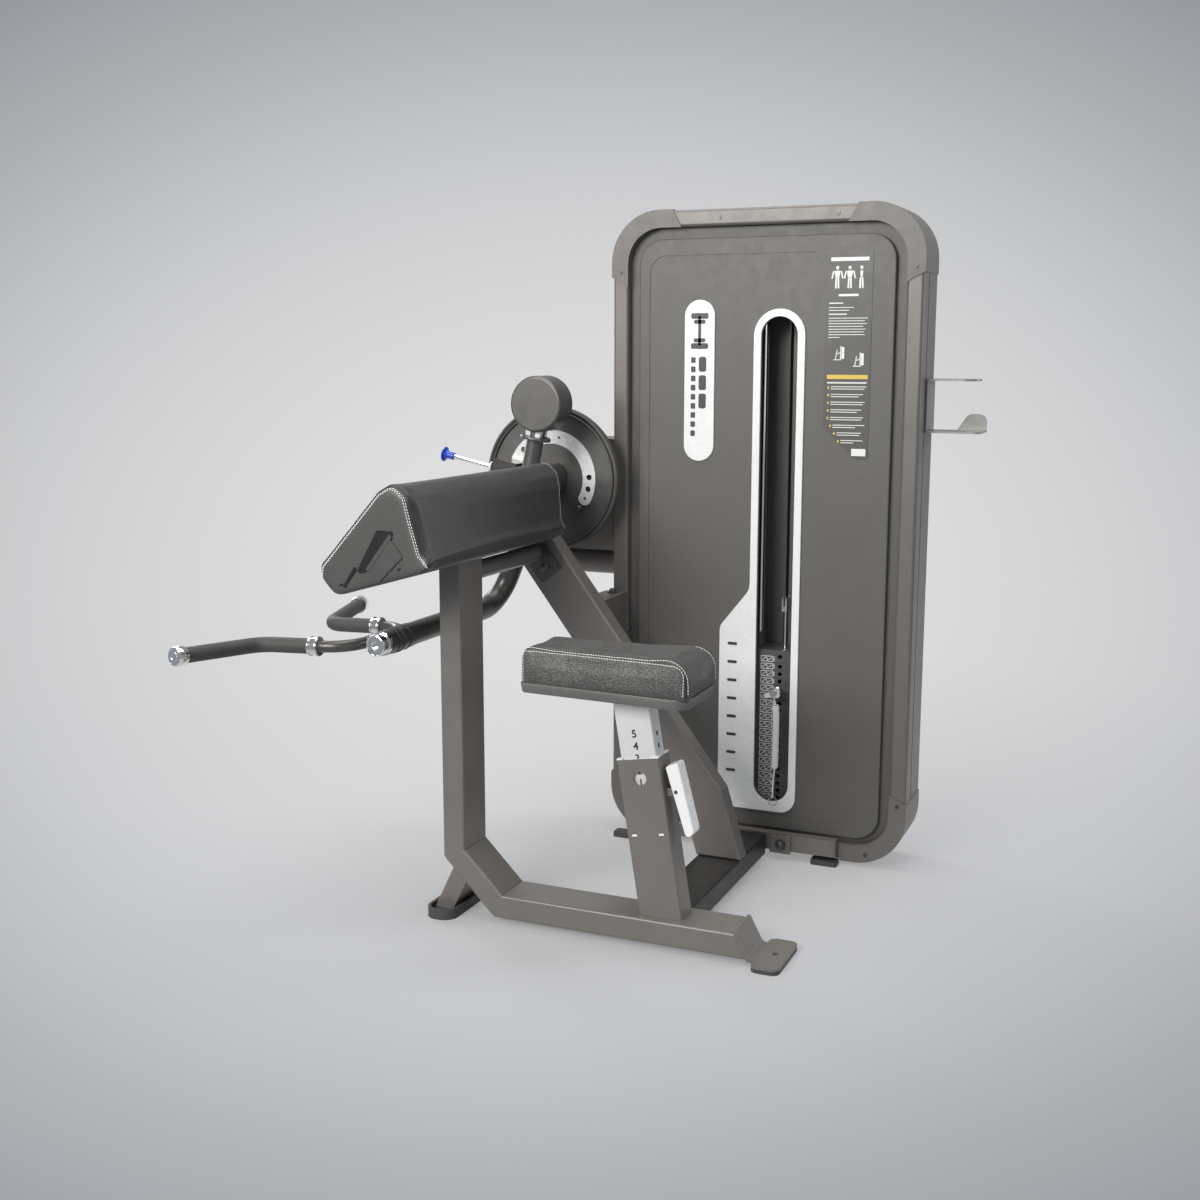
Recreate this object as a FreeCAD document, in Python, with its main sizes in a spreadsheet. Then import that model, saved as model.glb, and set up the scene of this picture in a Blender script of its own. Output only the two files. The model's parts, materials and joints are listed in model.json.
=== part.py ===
"""Seated camber curl machine with a selectorised weight tower, as separate parts.

Frame: +Z up, the floor at z = 0, the user faces -X and the weight tower stands on
the +Y side.  The origin is on the floor, below the centre of the whole machine.
"""
import FreeCAD, Part
import math
import os

V = FreeCAD.Vector
doc = FreeCAD.newDocument("curl_machine")

# ---------------------------------------------------------------- driving dimensions
DIMENSIONS = [
    ("mid_y", -191, "user's middle plane: post, pad, seat and handle"),
    ("tube_thin", 50, "short side of the frame tube"),
    ("tube_deep", 100, "long side of the frame tube"),
    ("tube_wall", 3, "wall of the frame tube"),
    ("tube_round", 5, "corner rounding of the frame tube"),
    ("beam_low", 11.5, "underside of the base beams above the floor"),
    ("post_x", -228, "centre of the pad post"),
    ("leg_wide", 40, "short side of the front leg's tube"),
    ("leg_deep", 90, "long side of the front leg's tube"),
    ("elbow_x", -126, "corner between the base beam and the sloping piece"),
    ("beam_end", 391, "right end of the base beam at its top"),
    ("beam_lean", 26, "how far the beam's right end leans out towards the floor"),
    ("anchor_width", 13, "hole that bolts the rear foot to the floor"),
    ("cross_x", 223, "centre of the beam that runs to the tower"),
    ("brace_y", 184, "middle plane of the sloping brace"),
    ("brace_top", 775, "height of the brace's upper end"),
    ("crossbar_z", 727, "height of the round bar below the pad"),
    ("crossbar_width", 40, "diameter of the round bar below the pad"),
    ("link_z", 671, "height of the tube between the housing and the tower"),
    ("link_width", 58, "diameter of that tube"),
    ("tower_left", -135, "left side of the weight tower"),
    ("tower_wide", 726, "width of the weight tower"),
    ("tower_low", 12, "underside of the tower"),
    ("tower_high", 1500, "top of the tower"),
    ("tower_front", 397, "front face of the tower's frame"),
    ("tower_deep", 142, "depth of the tower"),
    ("rail_face", 38, "width of the tower's frame seen from the front"),
    ("corner_round", 118, "outer radius of the tower's corners"),
    ("panel_set", 8, "front panel behind the frame's face"),
    ("slot_x", 269, "centre of the slot in the front panel"),
    ("slot_half", 42.5, "half the slot's width"),
    ("slot_low", 128, "lower end of the slot"),
    ("slot_high", 1260, "upper end of the slot"),
    ("stack_x", 279, "centre of the weight stack"),
    ("stack_y", 469, "middle plane of the weight stack"),
    ("plate_wide", 260, "width of a weight plate"),
    ("plate_deep", 84, "depth of a weight plate"),
    ("plate_thick", 17.3, "thickness of a weight plate"),
    ("plate_pitch", 17.7, "distance from one plate to the next"),
    ("stack_low", 106, "underside of the lowest plate"),
    ("rod_half", 63, "guide rods left and right of the stack's centre"),
    ("rod_width", 18, "diameter of a guide rod"),
    ("pivot_x", -262, "pivot axis of the arm"),
    ("pivot_z", 885, "height of the pivot axis"),
    ("disc_front", 324, "front face of the cam disc"),
    ("disc_round", 170, "radius of the cam disc"),
    ("shaft_width", 30, "diameter of the pivot shaft"),
    ("arm_y", 284, "plane in which the arm tube leaves the hub"),
    ("arm_width", 50, "diameter of the arm tube"),
    ("swivel_x", -388.6, "axis of the handle's swivel"),
    ("swivel_z", 577.8, "height of the swivel axis"),
    ("weight_round", 63, "radius of the counterweight"),
    ("weight_long", 70, "length of the counterweight"),
    ("bar_width", 25, "diameter of the handle bar"),
    ("grip_width", 33, "diameter of the handle grips"),
    ("seat_lean", 9.1, "lean of the seat post towards the pad, degrees"),
    ("seat_foot_x", 232, "seat post axis at the beam's top"),
    ("sleeve_wide", 91, "width of the seat sleeve"),
    ("sleeve_deep", 60, "depth of the seat sleeve"),
    ("seat_tube_wide", 76, "width of the sliding seat tube"),
    ("seat_tube_deep", 46, "depth of the sliding seat tube"),
    ("seat_step", 25, "pitch of the seat's height holes"),
    ("seat_low", 510, "underside of the seat shell"),
    ("pad_long", 606, "length of the arm pad"),
    ("seat_plate_x", 60, "left edge of the plate below the seat"),
    ("lanyard_width", 17, "outer diameter of the selector pin's curled lead"),
]
sheet = doc.addObject("Spreadsheet::Sheet", "Dimensions")
for row, (alias, number, note) in enumerate(DIMENSIONS, start=1):
    sheet.set("A%d" % row, note)
    sheet.set("B%d" % row, str(number))
    sheet.setAlias("B%d" % row, alias)
doc.recompute()


def size(alias):
    """The number that the sheet holds under an alias."""
    return float(sheet.get(alias))


# ---------------------------------------------------------------- shared helpers
NODES = []
THROUGH = 4000


def bind(thing, prop, value):
    """Set a property from a number, or from an expression over the sheet's aliases."""
    if isinstance(value, str):
        words = value.replace("(", " ( ").replace(")", " ) ").split()
        known = {alias for alias, _, _ in DIMENSIONS}
        thing.setExpression(prop, " ".join("Dimensions." + w if w in known else w for w in words))
    else:
        setattr(thing, prop, value)


def node(thing, label):
    """Give an object the node's name and put it on the list that is written out."""
    thing.Label = label
    NODES.append(thing)
    return thing


def place(thing, base=(0, 0, 0), axis=(0, 0, 1), degrees=0):
    thing.Placement = FreeCAD.Placement(V(*base), FreeCAD.Rotation(V(*axis), degrees))
    return thing


def box(name, wide, deep, high, corner, axis=(0, 0, 1), degrees=0):
    thing = doc.addObject("Part::Box", name)
    for prop, value in (("Length", wide), ("Width", deep), ("Height", high)):
        bind(thing, prop, value)
    return place(thing, corner, axis, degrees)


def rod(name, radius, length, start, direction=(0, 0, 1)):
    """A cylinder that starts at a point and runs along a direction."""
    thing = doc.addObject("Part::Cylinder", name)
    bind(thing, "Radius", radius)
    bind(thing, "Height", length)
    thing.Placement = FreeCAD.Placement(V(*start), FreeCAD.Rotation(V(0, 0, 1), V(*direction)))
    return thing


def join(name, things):
    thing = doc.addObject("Part::MultiFuse", name)
    thing.Shapes = things
    return thing


def cut(name, base, tools):
    """Take tools away from a base."""
    thing = doc.addObject("Part::Cut", name)
    thing.Base = base
    thing.Tool = tools[0] if len(tools) == 1 else join(name + "_tools", tools)
    return thing


def group(name, things):
    """Several separate solids in one node."""
    thing = doc.addObject("Part::Compound", name)
    thing.Links = things
    return thing


def rounded(name, base, radius, chosen):
    """Fillet the edges of a Part object that pass a test."""
    doc.recompute()
    thing = doc.addObject("Part::Fillet", name)
    thing.Base = base
    thing.Edges = [(i, radius, radius) for i, e in enumerate(base.Shape.Edges, 1) if chosen(e)]
    return thing


def along(direction):
    """A test for straight edges along a direction."""
    d = V(*direction).normalize()

    def test(edge):
        if edge.Curve.TypeId != "Part::GeomLine":
            return False
        return abs(abs(edge.tangentAt(edge.FirstParameter).dot(d)) - 1) < 1e-6
    return test


def outline(points):
    """Lines and arcs round a closed outline of (x, z, corner radius) points."""
    corners = []
    for i, (x, z, r) in enumerate(points):
        here = V(x, z, 0)
        before = (V(*points[i - 1][:2], 0) - here).normalize()
        after = (V(*points[(i + 1) % len(points)][:2], 0) - here).normalize()
        if r <= 0:
            corners.append((here, here, None))
            continue
        half = before.getAngle(after) / 2
        reach = r / math.tan(half)
        middle = here + (before + after).normalize() * (r / math.sin(half) - r)
        corners.append((here + before * reach, here + after * reach, middle))
    shapes = []
    for i, (start, end, middle) in enumerate(corners):
        if middle is not None:
            shapes.append(Part.Arc(start, middle, end))
        following = corners[(i + 1) % len(corners)][0]
        if end.distanceToPoint(following) > 1e-6:
            shapes.append(Part.LineSegment(end, following))
    return shapes


def sketch(body, name, points, role="XZ_Plane"):
    """A sketch of an outline on one of the body's own origin planes."""
    drawn = body.newObject("Sketcher::SketchObject", name)
    plane = [f for f in body.Origin.OriginFeatures if f.Role == role][0]
    drawn.AttachmentSupport = (plane, [""])
    drawn.MapMode = "FlatFace"
    drawn.addGeometry(outline(points), False)
    return drawn


def blank(name, points, depth, middle, role="XZ_Plane", hollow=None, hollow_depth=None,
          holes=(), edge_round=0, edge_test=None):
    """A body padded both ways from its outline's plane, with an optional hollow and holes."""
    body = doc.addObject("PartDesign::Body", name + "_body")
    pad = body.newObject("PartDesign::Pad", name + "_pad")
    pad.Profile = sketch(body, name + "_outline", points, role)
    pad.Midplane = True
    bind(pad, "Length", depth)
    if isinstance(middle, str):
        bind(body, "Placement.Base.y", middle)
    else:
        body.Placement = FreeCAD.Placement(V(*middle), FreeCAD.Rotation())

    def pocket(title, shape, deep):
        doc.recompute()
        solid = body.Tip.Shape.Volume
        opening = body.newObject("PartDesign::Pocket", title)
        opening.Profile = sketch(body, title + "_outline", shape, role)
        opening.Midplane = True
        bind(opening, "Length", deep)
        doc.recompute()
        if opening.Shape.Volume >= solid - 1:
            raise ValueError("%s removes nothing" % title)

    for i, hole in enumerate(holes):
        pocket("%s_hole%d" % (name, i), hole, THROUGH)
    if edge_round:
        doc.recompute()
        last = body.Tip
        names = ["Edge%d" % i for i, e in enumerate(last.Shape.Edges, 1) if edge_test(e)]
        fillet = body.newObject("PartDesign::Fillet", name + "_fillet")
        fillet.Base = (last, names)
        bind(fillet, "Radius", edge_round)
    if hollow:
        pocket(name + "_hollow", hollow, hollow_depth)
    return body


def slab(label, *shape, **options):
    """A padded body that is a node by itself."""
    return node(blank(label, *shape, **options), label)


def outer_edges(depth, least):
    """Long outline edges on the two flat faces of a slab of a given depth."""
    def test(edge):
        ends = [v.Point for v in edge.Vertexes]
        return edge.Length > least and all(abs(abs(p.y) - depth / 2) < 1e-6 for p in ends)
    return test


def ribbon(path, half_width, start_cut=None, end_cut=None, extend=0):
    """Outline of a flat strip along a path of (x, z) points, its ends cut along a direction."""
    path = [V(x, z, 0) for x, z in path]
    first = (path[1] - path[0]).normalize()
    last = (path[-1] - path[-2]).normalize()
    path[0] = path[0] - first * extend
    path[-1] = path[-1] + last * extend
    left, right = [], []
    for i, here in enumerate(path):
        ahead = (path[i + 1] - here).normalize() if i + 1 < len(path) else last
        back = (here - path[i - 1]).normalize() if i else first
        if i == 0 and start_cut:
            across = V(*start_cut, 0).normalize()
        elif i == len(path) - 1 and end_cut:
            across = V(*end_cut, 0).normalize()
        else:
            both = (ahead + back).normalize()
            across = V(-both.y, both.x, 0)
        side = ahead.x * across.y - ahead.y * across.x
        step = across * (half_width / side)
        left.append(here + step)
        right.append(here - step)
    return [(p.x, p.y, 0) for p in left + right[::-1]]


def frame_tube(label, path, across="tube_thin", through="tube_deep", middle="mid_y",
               start_cut=None, end_cut=None, least=70):
    """Hollow rectangular tube along a path seen from its side."""
    half_width = size(across) / 2
    return slab(label, ribbon(path, half_width, start_cut, end_cut), through, middle,
                hollow=ribbon(path, half_width - size("tube_wall"), start_cut, end_cut, 60),
                hollow_depth=through + " - 2 * tube_wall", edge_round="tube_round",
                edge_test=outer_edges(size(through), least))


def pipe_shape(points, bends, radius, inner=0):
    """A round tube swept along straight runs that are joined by tangent arcs."""
    points = [V(*p) for p in points]
    edges, start = [], points[0]
    for before, here, after, bend in zip(points, points[1:], points[2:], bends):
        back = (before - here).normalize()
        ahead = (after - here).normalize()
        half = back.getAngle(ahead) / 2
        reach = bend / math.tan(half)
        middle = here + (back + ahead).normalize() * (bend / math.sin(half) - bend)
        edges.append(Part.LineSegment(start, here + back * reach).toShape())
        edges.append(Part.Arc(here + back * reach, middle, here + ahead * reach).toShape())
        start = here + ahead * reach
    edges.append(Part.LineSegment(start, points[-1]).toShape())
    path = Part.Wire(edges)
    heading = points[1] - points[0]

    def sweep(r):
        ring = Part.Wire(Part.makeCircle(r, points[0], heading))
        return path.makePipeShell([ring], True, False)
    solid = sweep(radius)
    expected = math.pi * radius ** 2 * path.Length
    if abs(solid.Volume - expected) > expected / 100:
        raise ValueError("a swept tube has the wrong volume")
    return solid.cut(sweep(inner)) if inner else solid


def feature(name, shape):
    """An object whose shape is computed, for pieces bent in space."""
    thing = doc.addObject("Part::Feature", name)
    thing.Shape = shape
    return thing


mid = size("mid_y")
thin, deep, wall = size("tube_thin"), size("tube_deep"), size("tube_wall")
half = thin / 2
low = size("beam_low")
beam_top = low + thin
MITRE = math.tan(math.radians(22.5))


# ---------------------------------------------------------------- base frame
def base_frame():
    """Floor beam, sloping elbow and pad post, mitred from one size of tube."""
    elbow_x, post_x = size("elbow_x"), size("post_x")
    beam_z = low + half
    bend_z = beam_z + elbow_x - post_x
    end, lean = size("beam_end"), size("beam_lean")
    frame_tube("base_beam", [(elbow_x, beam_z), (end + lean / 2, beam_z)],
               start_cut=(MITRE, 1), end_cut=(-lean, thin), least=200)
    frame_tube("base_elbow", [(elbow_x, beam_z), (post_x, bend_z)],
               start_cut=(MITRE, 1), end_cut=(1, MITRE), least=90)
    pad_slope, post_top = 0.28, 751
    frame_tube("pad_post", [(post_x, bend_z), (post_x, post_top)],
               start_cut=(1, MITRE), end_cut=(1, pad_slope), least=300)


TOE_X, TOE_LONG, TOE_WIDE, ANCHOR_X = 432, 58, 150, 464


def rear_foot():
    """Plate that closes the beam's leaning end and turns down to a wide, drilled toe."""
    end, lean = size("beam_end"), size("beam_lean")
    steel, foot_low = 5, 8
    slope = lean / thin
    top_z = beam_top + 4
    top_x = end - slope * 4 + 0.5
    knee = end + slope * (beam_top - foot_low) + 0.5
    skew = steel * math.hypot(1, slope)
    leaning = blank("rear_foot_leaning",
                    [(top_x, top_z, 0), (knee, foot_low, 0), (knee + 30, foot_low, 0),
                     (knee + 30, foot_low + steel, 0), (knee - slope * steel + skew, foot_low + steel, 14),
                     (top_x + skew, top_z, 0)], "tube_deep", "mid_y")
    flat = box("anchor_toe", TOE_LONG, TOE_WIDE, steel, (TOE_X, mid - TOE_WIDE / 2, foot_low))
    flat = rounded("anchor_toe_round", flat, 16, along((0, 0, 1)))
    hole = rod("anchor_hole", "anchor_width / 2", 20, (ANCHOR_X, mid, 0))
    node(cut("rear_foot_drilled", join("rear_foot_bent", [leaning, flat]), [hole]), "rear_foot_plate")


def feet():
    """Rubber under the steel, and the long boot below the front leg."""
    rubber = box("rear_rubber", TOE_LONG, TOE_WIDE, 8, (TOE_X, mid - TOE_WIDE / 2, 0))
    rubber = rounded("rear_rubber_round", rubber, 16, along((0, 0, 1)))
    blocks = [cut("rear_rubber_open", rubber, [rod("rear_rubber_hole", 8, 20, (ANCHOR_X, mid, -1))])]
    for i, (x, y) in enumerate(((410, 366), (-90, 366), (410, 500), (-90, 500))):
        block = box("tower_foot_%d" % i, 62, 34, 12, (x - 31, y, 0))
        blocks.append(rounded("tower_foot_round_%d" % i, block, 6, along((0, 0, 1))))
    node(group("rubber_feet_group", blocks), "rubber_feet")
    boot = box("front_boot", 68, 158, 22, (-286, mid - 84, 0))
    boot = rounded("front_boot_round", boot, 30, along((0, 0, 1)))
    well = box("front_boot_well", 56, 146, 12, (-280, mid - 78, 12))
    well = rounded("front_boot_well_round", well, 24, along((0, 0, 1)))
    node(cut("front_boot_open", boot, [well]), "front_foot")
    frame_tube("front_leg", [(-257, 12.3), (-217.9, 92)], middle="mid_y", start_cut=(1, 0),
               end_cut=(-1, 1), across="leg_wide", through="leg_deep", least=80)


def beams():
    """The beam to the tower, the brace, the bars below the pad, and the tower's own rail."""
    cross = size("cross_x")
    shell = box("cross_beam_outside", "tube_deep", 500, "tube_thin", (cross - deep / 2, mid + thin, low))
    shell = rounded("cross_beam_round", shell, 5, along((0, 1, 0)))
    bore = box("cross_beam_bore", "tube_deep - 2 * tube_wall", 520, "tube_thin - 2 * tube_wall",
               (cross - deep / 2 + wall, mid, low + wall))
    node(cut("cross_beam_tube", shell, [bore]), "cross_beam")
    frame_tube("brace_tube", [(cross, beam_top), (182.6, 194.2), (-255, size("brace_top"))],
               across="tube_deep", through="tube_thin", middle="brace_y", start_cut=(1, 0), least=100)
    front = size("brace_y") - half
    run = front - (mid + deep / 2)
    post_x = size("post_x")
    outer = rod("crossbar_outside", "crossbar_width / 2", run - 1, (post_x, mid + deep / 2 + 0.5,
                size("crossbar_z")), (0, 1, 0))
    inner = rod("crossbar_bore", "crossbar_width / 2 - tube_wall", run + 9,
                (post_x, mid + deep / 2 - 5, size("crossbar_z")), (0, 1, 0))
    node(cut("crossbar_tube", outer, [inner]), "pad_crossbar")
    left = size("tower_left")
    start = -372
    outer = rod("link_outside", "link_width / 2", left - start - 0.5, (start, 464, size("link_z")), (1, 0, 0))
    inner = rod("link_bore", "link_width / 2 - tube_wall", left - start + 9,
                (start - 5, 464, size("link_z")), (1, 0, 0))
    node(cut("link_tube_bored", outer, [inner]), "link_tube")
    # Box that ties the back of the brace to the tower's front.
    back = size("brace_y") + half
    gap = size("tower_front") - back
    outside = box("tie_outside", 56, gap - 1, 120, (-154, back + 0.5, 490))
    inside = box("tie_inside", 50, gap + 10, 112, (-151, back - 5, 494))
    node(cut("tie_box", outside, [inside]), "tower_tie")
    # Rail on the floor side of the tower, with the flange that the cross beam bolts to.
    front_y = size("tower_front") - 26
    rail = box("rail_outside", 257, 23, 40, (180, front_y, 22))
    rail = rounded("rail_round", rail, 10, lambda e: along((0, 0, 1))(e) and e.Vertexes[0].X > 400
                   and e.Vertexes[0].Y < front_y + 1)
    flange = box("rail_flange", 50, 6, 42, (281, front_y - 6.2, 17))
    node(group("tower_base_rail_group", [rail, flange]), "tower_base_rail")


# ---------------------------------------------------------------- weight tower
left, right = size("tower_left"), size("tower_left") + size("tower_wide")
floor_z, top_z = size("tower_low"), size("tower_high")
front, back = size("tower_front"), size("tower_front") + size("tower_deep")
face, curve = size("rail_face"), size("corner_round")
SEAM_OUT, SEAM_IN, PROUD = 150, 172, 2.5


def tower_frame():
    """Four straight mouldings and four corner pieces that stand slightly proud of them."""
    centre_y = (front + back) / 2

    def seam(inwards):
        """Distance from the frame's corner to a moulding's end, at a distance inwards."""
        share = (inwards + PROUD) / (face + PROUD)
        return SEAM_OUT + (SEAM_IN - SEAM_OUT) * share + 0.3 - PROUD

    near, far = seam(0), seam(face)
    above = top_z + 100
    outlines = {
        "left": ([(left, floor_z + near, 0), (left + face, floor_z + far, 0),
                  (left + face, top_z - far, 0), (left, top_z - near, 0)],
                 [(left + 5, 0, 0), (left + face - 5, 0, 0),
                  (left + face - 5, above, 0), (left + 5, above, 0)]),
        "right": ([(right, floor_z + near, 0), (right, top_z - near, 0),
                   (right - face, top_z - far, 0), (right - face, floor_z + far, 0)],
                  [(right - 5, 0, 0), (right - 5, above, 0),
                   (right - face + 5, above, 0), (right - face + 5, 0, 0)]),
        "bottom": ([(left + near, floor_z, 0), (right - near, floor_z, 0),
                    (right - far, floor_z + face, 0), (left + far, floor_z + face, 0)],
                   [(left, floor_z + 5, 0), (right, floor_z + 5, 0),
                    (right, floor_z + face - 5, 0), (left, floor_z + face - 5, 0)]),
        "top": ([(left + near, top_z, 0), (left + far, top_z - face, 0),
                 (right - far, top_z - face, 0), (right - near, top_z, 0)],
                [(left, top_z - 5, 0), (left, top_z - face + 5, 0),
                 (right, top_z - face + 5, 0), (right, top_z - 5, 0)]),
    }
    nose = size("tower_deep") / 2
    rails, corners = [], []
    for name, (shape, hollow) in outlines.items():
        rail = blank(name + "_rail", shape, "tower_deep", (0, centre_y, 0), hollow=hollow,
                     hollow_depth="tower_deep - 10", edge_round=7,
                     edge_test=lambda e: e.Length > 300 and all(abs(v.Y + nose) < 1e-6 for v in e.Vertexes))
        if name in ("left", "right"):
            groove_x = left - 1 if name == "left" else right - 3
            tools = [box(name + "_rail_groove", 4, 5, above, (groove_x, front + 50, 0))]
            if name == "left":
                tools.append(box("belt_window", face + 10, 42, 30, (left - 5, 448, 789)))
            rail = cut(name + "_rail_grooved", rail, tools)
        rails.append(rail)
    node(group("frame_rail_group", rails), "frame_rails")

    deep_y = size("tower_deep") + PROUD
    for name, sx, sz in (("upper_left", 1, -1), ("upper_right", -1, -1),
                         ("lower_left", 1, 1), ("lower_right", -1, 1)):
        x0 = left - PROUD if sx > 0 else right + PROUD
        z0 = top_z + PROUD if sz < 0 else floor_z - PROUD
        wall_in = face + PROUD

        def at(dx, dz, r=0):
            return (x0 + sx * dx, z0 + sz * dz, r)
        corners.append(blank(
            name + "_corner",
            [at(0, SEAM_OUT), at(0, 0, curve), at(SEAM_OUT, 0),
             at(SEAM_IN, wall_in), at(wall_in, wall_in, curve - face), at(wall_in, SEAM_IN)],
            deep_y, (0, back - deep_y / 2, 0),
            hollow=[at(6, SEAM_OUT + 60), at(6, 6, curve - 6), at(SEAM_OUT + 60, 6),
                    at(SEAM_IN + 60, face - 4), at(face - 4, face - 4, curve - face + 6),
                    at(face - 4, SEAM_IN + 60)],
            hollow_depth=deep_y - 12))
    node(group("frame_corner_group", corners), "frame_corners")


PLATEAU = 25
FIELD = 1.6


def field_outline():
    """The shallow field of the panel that goes round the placard's corner."""
    return [(-46, 96, 20), (476, 96, 22), (476, 890, 12), (358, 1015, 12), (358, 1400, 14), (-46, 1400, 42)]


def slot_outline(grow):
    """The slot: straight sides with a full round at each end."""
    x, r = size("slot_x"), size("slot_half") + grow
    return [(x - r, size("slot_low") - grow, r - 0.01), (x + r, size("slot_low") - grow, r - 0.01),
            (x + r, size("slot_high") + grow, r - 0.01), (x - r, size("slot_high") + grow, r - 0.01)]


def panels():
    """Front panel with its plateau and slot, its trims, and the rear panel."""
    set_back = size("panel_set")
    inner_l, inner_r = left + face + 0.5, right - face - 0.5
    inner_b, inner_t = floor_z + face + 0.5, top_z - face - 0.5
    inner_round = curve - face - 0.5
    sheet_outline = [(inner_l, inner_b, inner_round), (inner_r, inner_b, inner_round),
                     (inner_r, inner_t, inner_round), (inner_l, inner_t, inner_round)]

    def outer_rim(edge):
        """An edge round the plateau's front face, not one of the slot's."""
        b = edge.BoundBox
        at_rim = b.XMin < left + 120 or b.XMax > right - 120 or b.ZMax > top_z - 100
        return at_rim and all(abs(v.Y + 7) < 1e-6 for v in edge.Vertexes)
    base = blank("panel_base", sheet_outline, 4, (0, front + 24, 0), holes=[slot_outline(2)])
    raised = blank("panel_raised",
                   [(inner_l + PLATEAU, inner_b + 12, 58), (inner_r - PLATEAU, inner_b + 12, 58),
                    (inner_r - PLATEAU, inner_t - PLATEAU, 58), (inner_l + PLATEAU, inner_t - PLATEAU, 58)],
                   14, (0, front + set_back + 7, 0), holes=[slot_outline(2)],
                   edge_round=3, edge_test=outer_rim)
    field = blank("panel_field", field_outline(), FIELD * 2, (0, front + set_back, 0))
    node(cut("front_panel_shape", join("front_panel_blank", [base, raised]), [field]), "front_panel")
    face_y = front + set_back
    slot_x, h = size("slot_x"), size("slot_half")
    trim_out = h + 17.5
    wide_x = slot_x - 132
    slab("slot_trim",
         [(wide_x, 104, 14), (slot_x + trim_out, 104, 38), (slot_x + trim_out, 1277, trim_out - 0.01),
          (slot_x - trim_out, 1277, trim_out - 0.01), (slot_x - trim_out, 634, 40), (wide_x, 543, 30)],
         5, (0, face_y + FIELD - 2.5 - 0.05, 0), holes=[slot_outline(0)], edge_round=1.2,
         edge_test=lambda e: all(abs(v.Y + 2.5) < 1e-6 for v in e.Vertexes))
    badge_x, badge_r, badge_low, badge_high = 78.5, 36.5, 930.5, 1299
    x0, x1, corner = badge_x - badge_r, badge_x + badge_r, badge_r - 0.01
    slab("badge_plate",
         [(x0, badge_low, corner), (x1, badge_low, corner),
          (x1, badge_high, corner), (x0, badge_high, corner)],
         4, (0, face_y + FIELD - 2 - 0.05, 0), edge_round=1,
         edge_test=lambda e: all(abs(v.Y + 2) < 1e-6 for v in e.Vertexes))
    slab("placard", [(373, 1016, 2), (447, 945, 2), (477, 945, 4), (477, 1402, 4), (373, 1402, 4)],
         1.2, (0, face_y - 0.65, 0))
    slab("rear_panel", sheet_outline, 3, (0, back - 8, 0))


def screws():
    """Screws in the tower's frame and the dome bolts of the structure, each a group."""
    heads = []
    on_rail = front - 3
    on_corner = on_rail - PROUD
    spots = ((124, 1481, on_rail), (398, 1481, on_rail), (-116, 1364, on_corner),
             (572, 1364, on_corner), (572, 156, on_corner), (502, 31, on_corner))
    for i, (x, z, y) in enumerate(spots):
        head = rod("screw_%d" % i, 4.5, 3, (x, y, z), (0, 1, 0))
        socket = rod("screw_socket_%d" % i, 2.2, 3, (x, y - 1.2, z), (0, 1, 0))
        heads.append(cut("screw_head_%d" % i, head, [socket]))

    def dome(name, point, direction, radius=11):
        """A washer and a domed head that stand on a face."""
        d = V(*direction).normalize()
        washer = rod(name + "_washer", radius * 1.35, 2, point, direction)
        head = doc.addObject("Part::Sphere", name + "_dome")
        head.Radius = radius
        head.Angle1 = 0
        start = V(*point) + d * 2
        head.Placement = FreeCAD.Placement(start, FreeCAD.Rotation(V(0, 0, 1), d))
        return join(name, [washer, head])
    brace_front = size("brace_y") - half
    bolts = [dome("brace_bolt", (-200, brace_front - 5.2, 697), (0, -1, 0)),
             dome("flange_bolt", (308, front - 32.4, 38), (0, -1, 0), 10),
             dome("tie_bolt", (-126, 372, 610.2), (0, 0, 1), 9)]
    cover = box("brace_plate_blank", 62, 5, 70, (-31, -2.5, -35))
    cover = rounded("brace_plate_round", cover, 6, along((0, 1, 0)))
    place(cover, (-206, brace_front - 2.6, 706), (0, 1, 0), -37)
    gap = rod("brace_plate_gap", 20.4, 30, (size("post_x"), brace_front - 15, size("crossbar_z")), (0, 1, 0))
    node(group("fastener_group", heads + bolts + [cut("brace_plate_fitted", cover, [gap])]), "frame_bolts")


def accessory_holder():
    """Strap on the tower's side, bent out into two shelves, the lower one with a hook."""
    steel, deep_y = 4, 88
    y0 = back - deep_y
    z0, z1 = 1004, 1122
    reach = 112.2
    side_x = right + 0.3

    def far_corner(edge):
        return along((0, 0, 1))(edge) and edge.Vertexes[0].X > right + 50
    strap = box("holder_strap", steel, deep_y, z1 - z0, (side_x, y0, z0))
    shelf_top = box("holder_top_blank", reach, deep_y, steel, (side_x, y0, z1 - steel))
    shelf_top = rounded("holder_top", shelf_top, 30, far_corner)
    shelf_low = box("holder_low_blank", reach + 10, deep_y, steel, (side_x, y0, z0))
    shelf_low = rounded("holder_low", shelf_low, 12, lambda e: far_corner(e) and e.Vertexes[0].Y < y0 + 1)
    hook = blank("holder_hook", [(right + 55, z0, 0), (right + reach + 10, z0, 0),
                                 (right + reach + 10, z0 + 40, 18), (right + 82, z0 + 40, 16)],
                 steel, (0, back - steel / 2, 0))
    node(join("holder_bent", [strap, shelf_top, shelf_low, hook]), "accessory_holder")


# ---------------------------------------------------------------- weight stack
RESTING, LIFTED = 16, 4
BELT_THICK, BELT_WIDE = 3, 24
stack_x, stack_y = size("stack_x"), size("stack_y")
pitch, plate_thick = size("plate_pitch"), size("plate_thick")
plates_top = size("stack_low") + (RESTING + LIFTED) * pitch
PIN_Z = size("stack_low") + RESTING * pitch + plate_thick / 2


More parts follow.
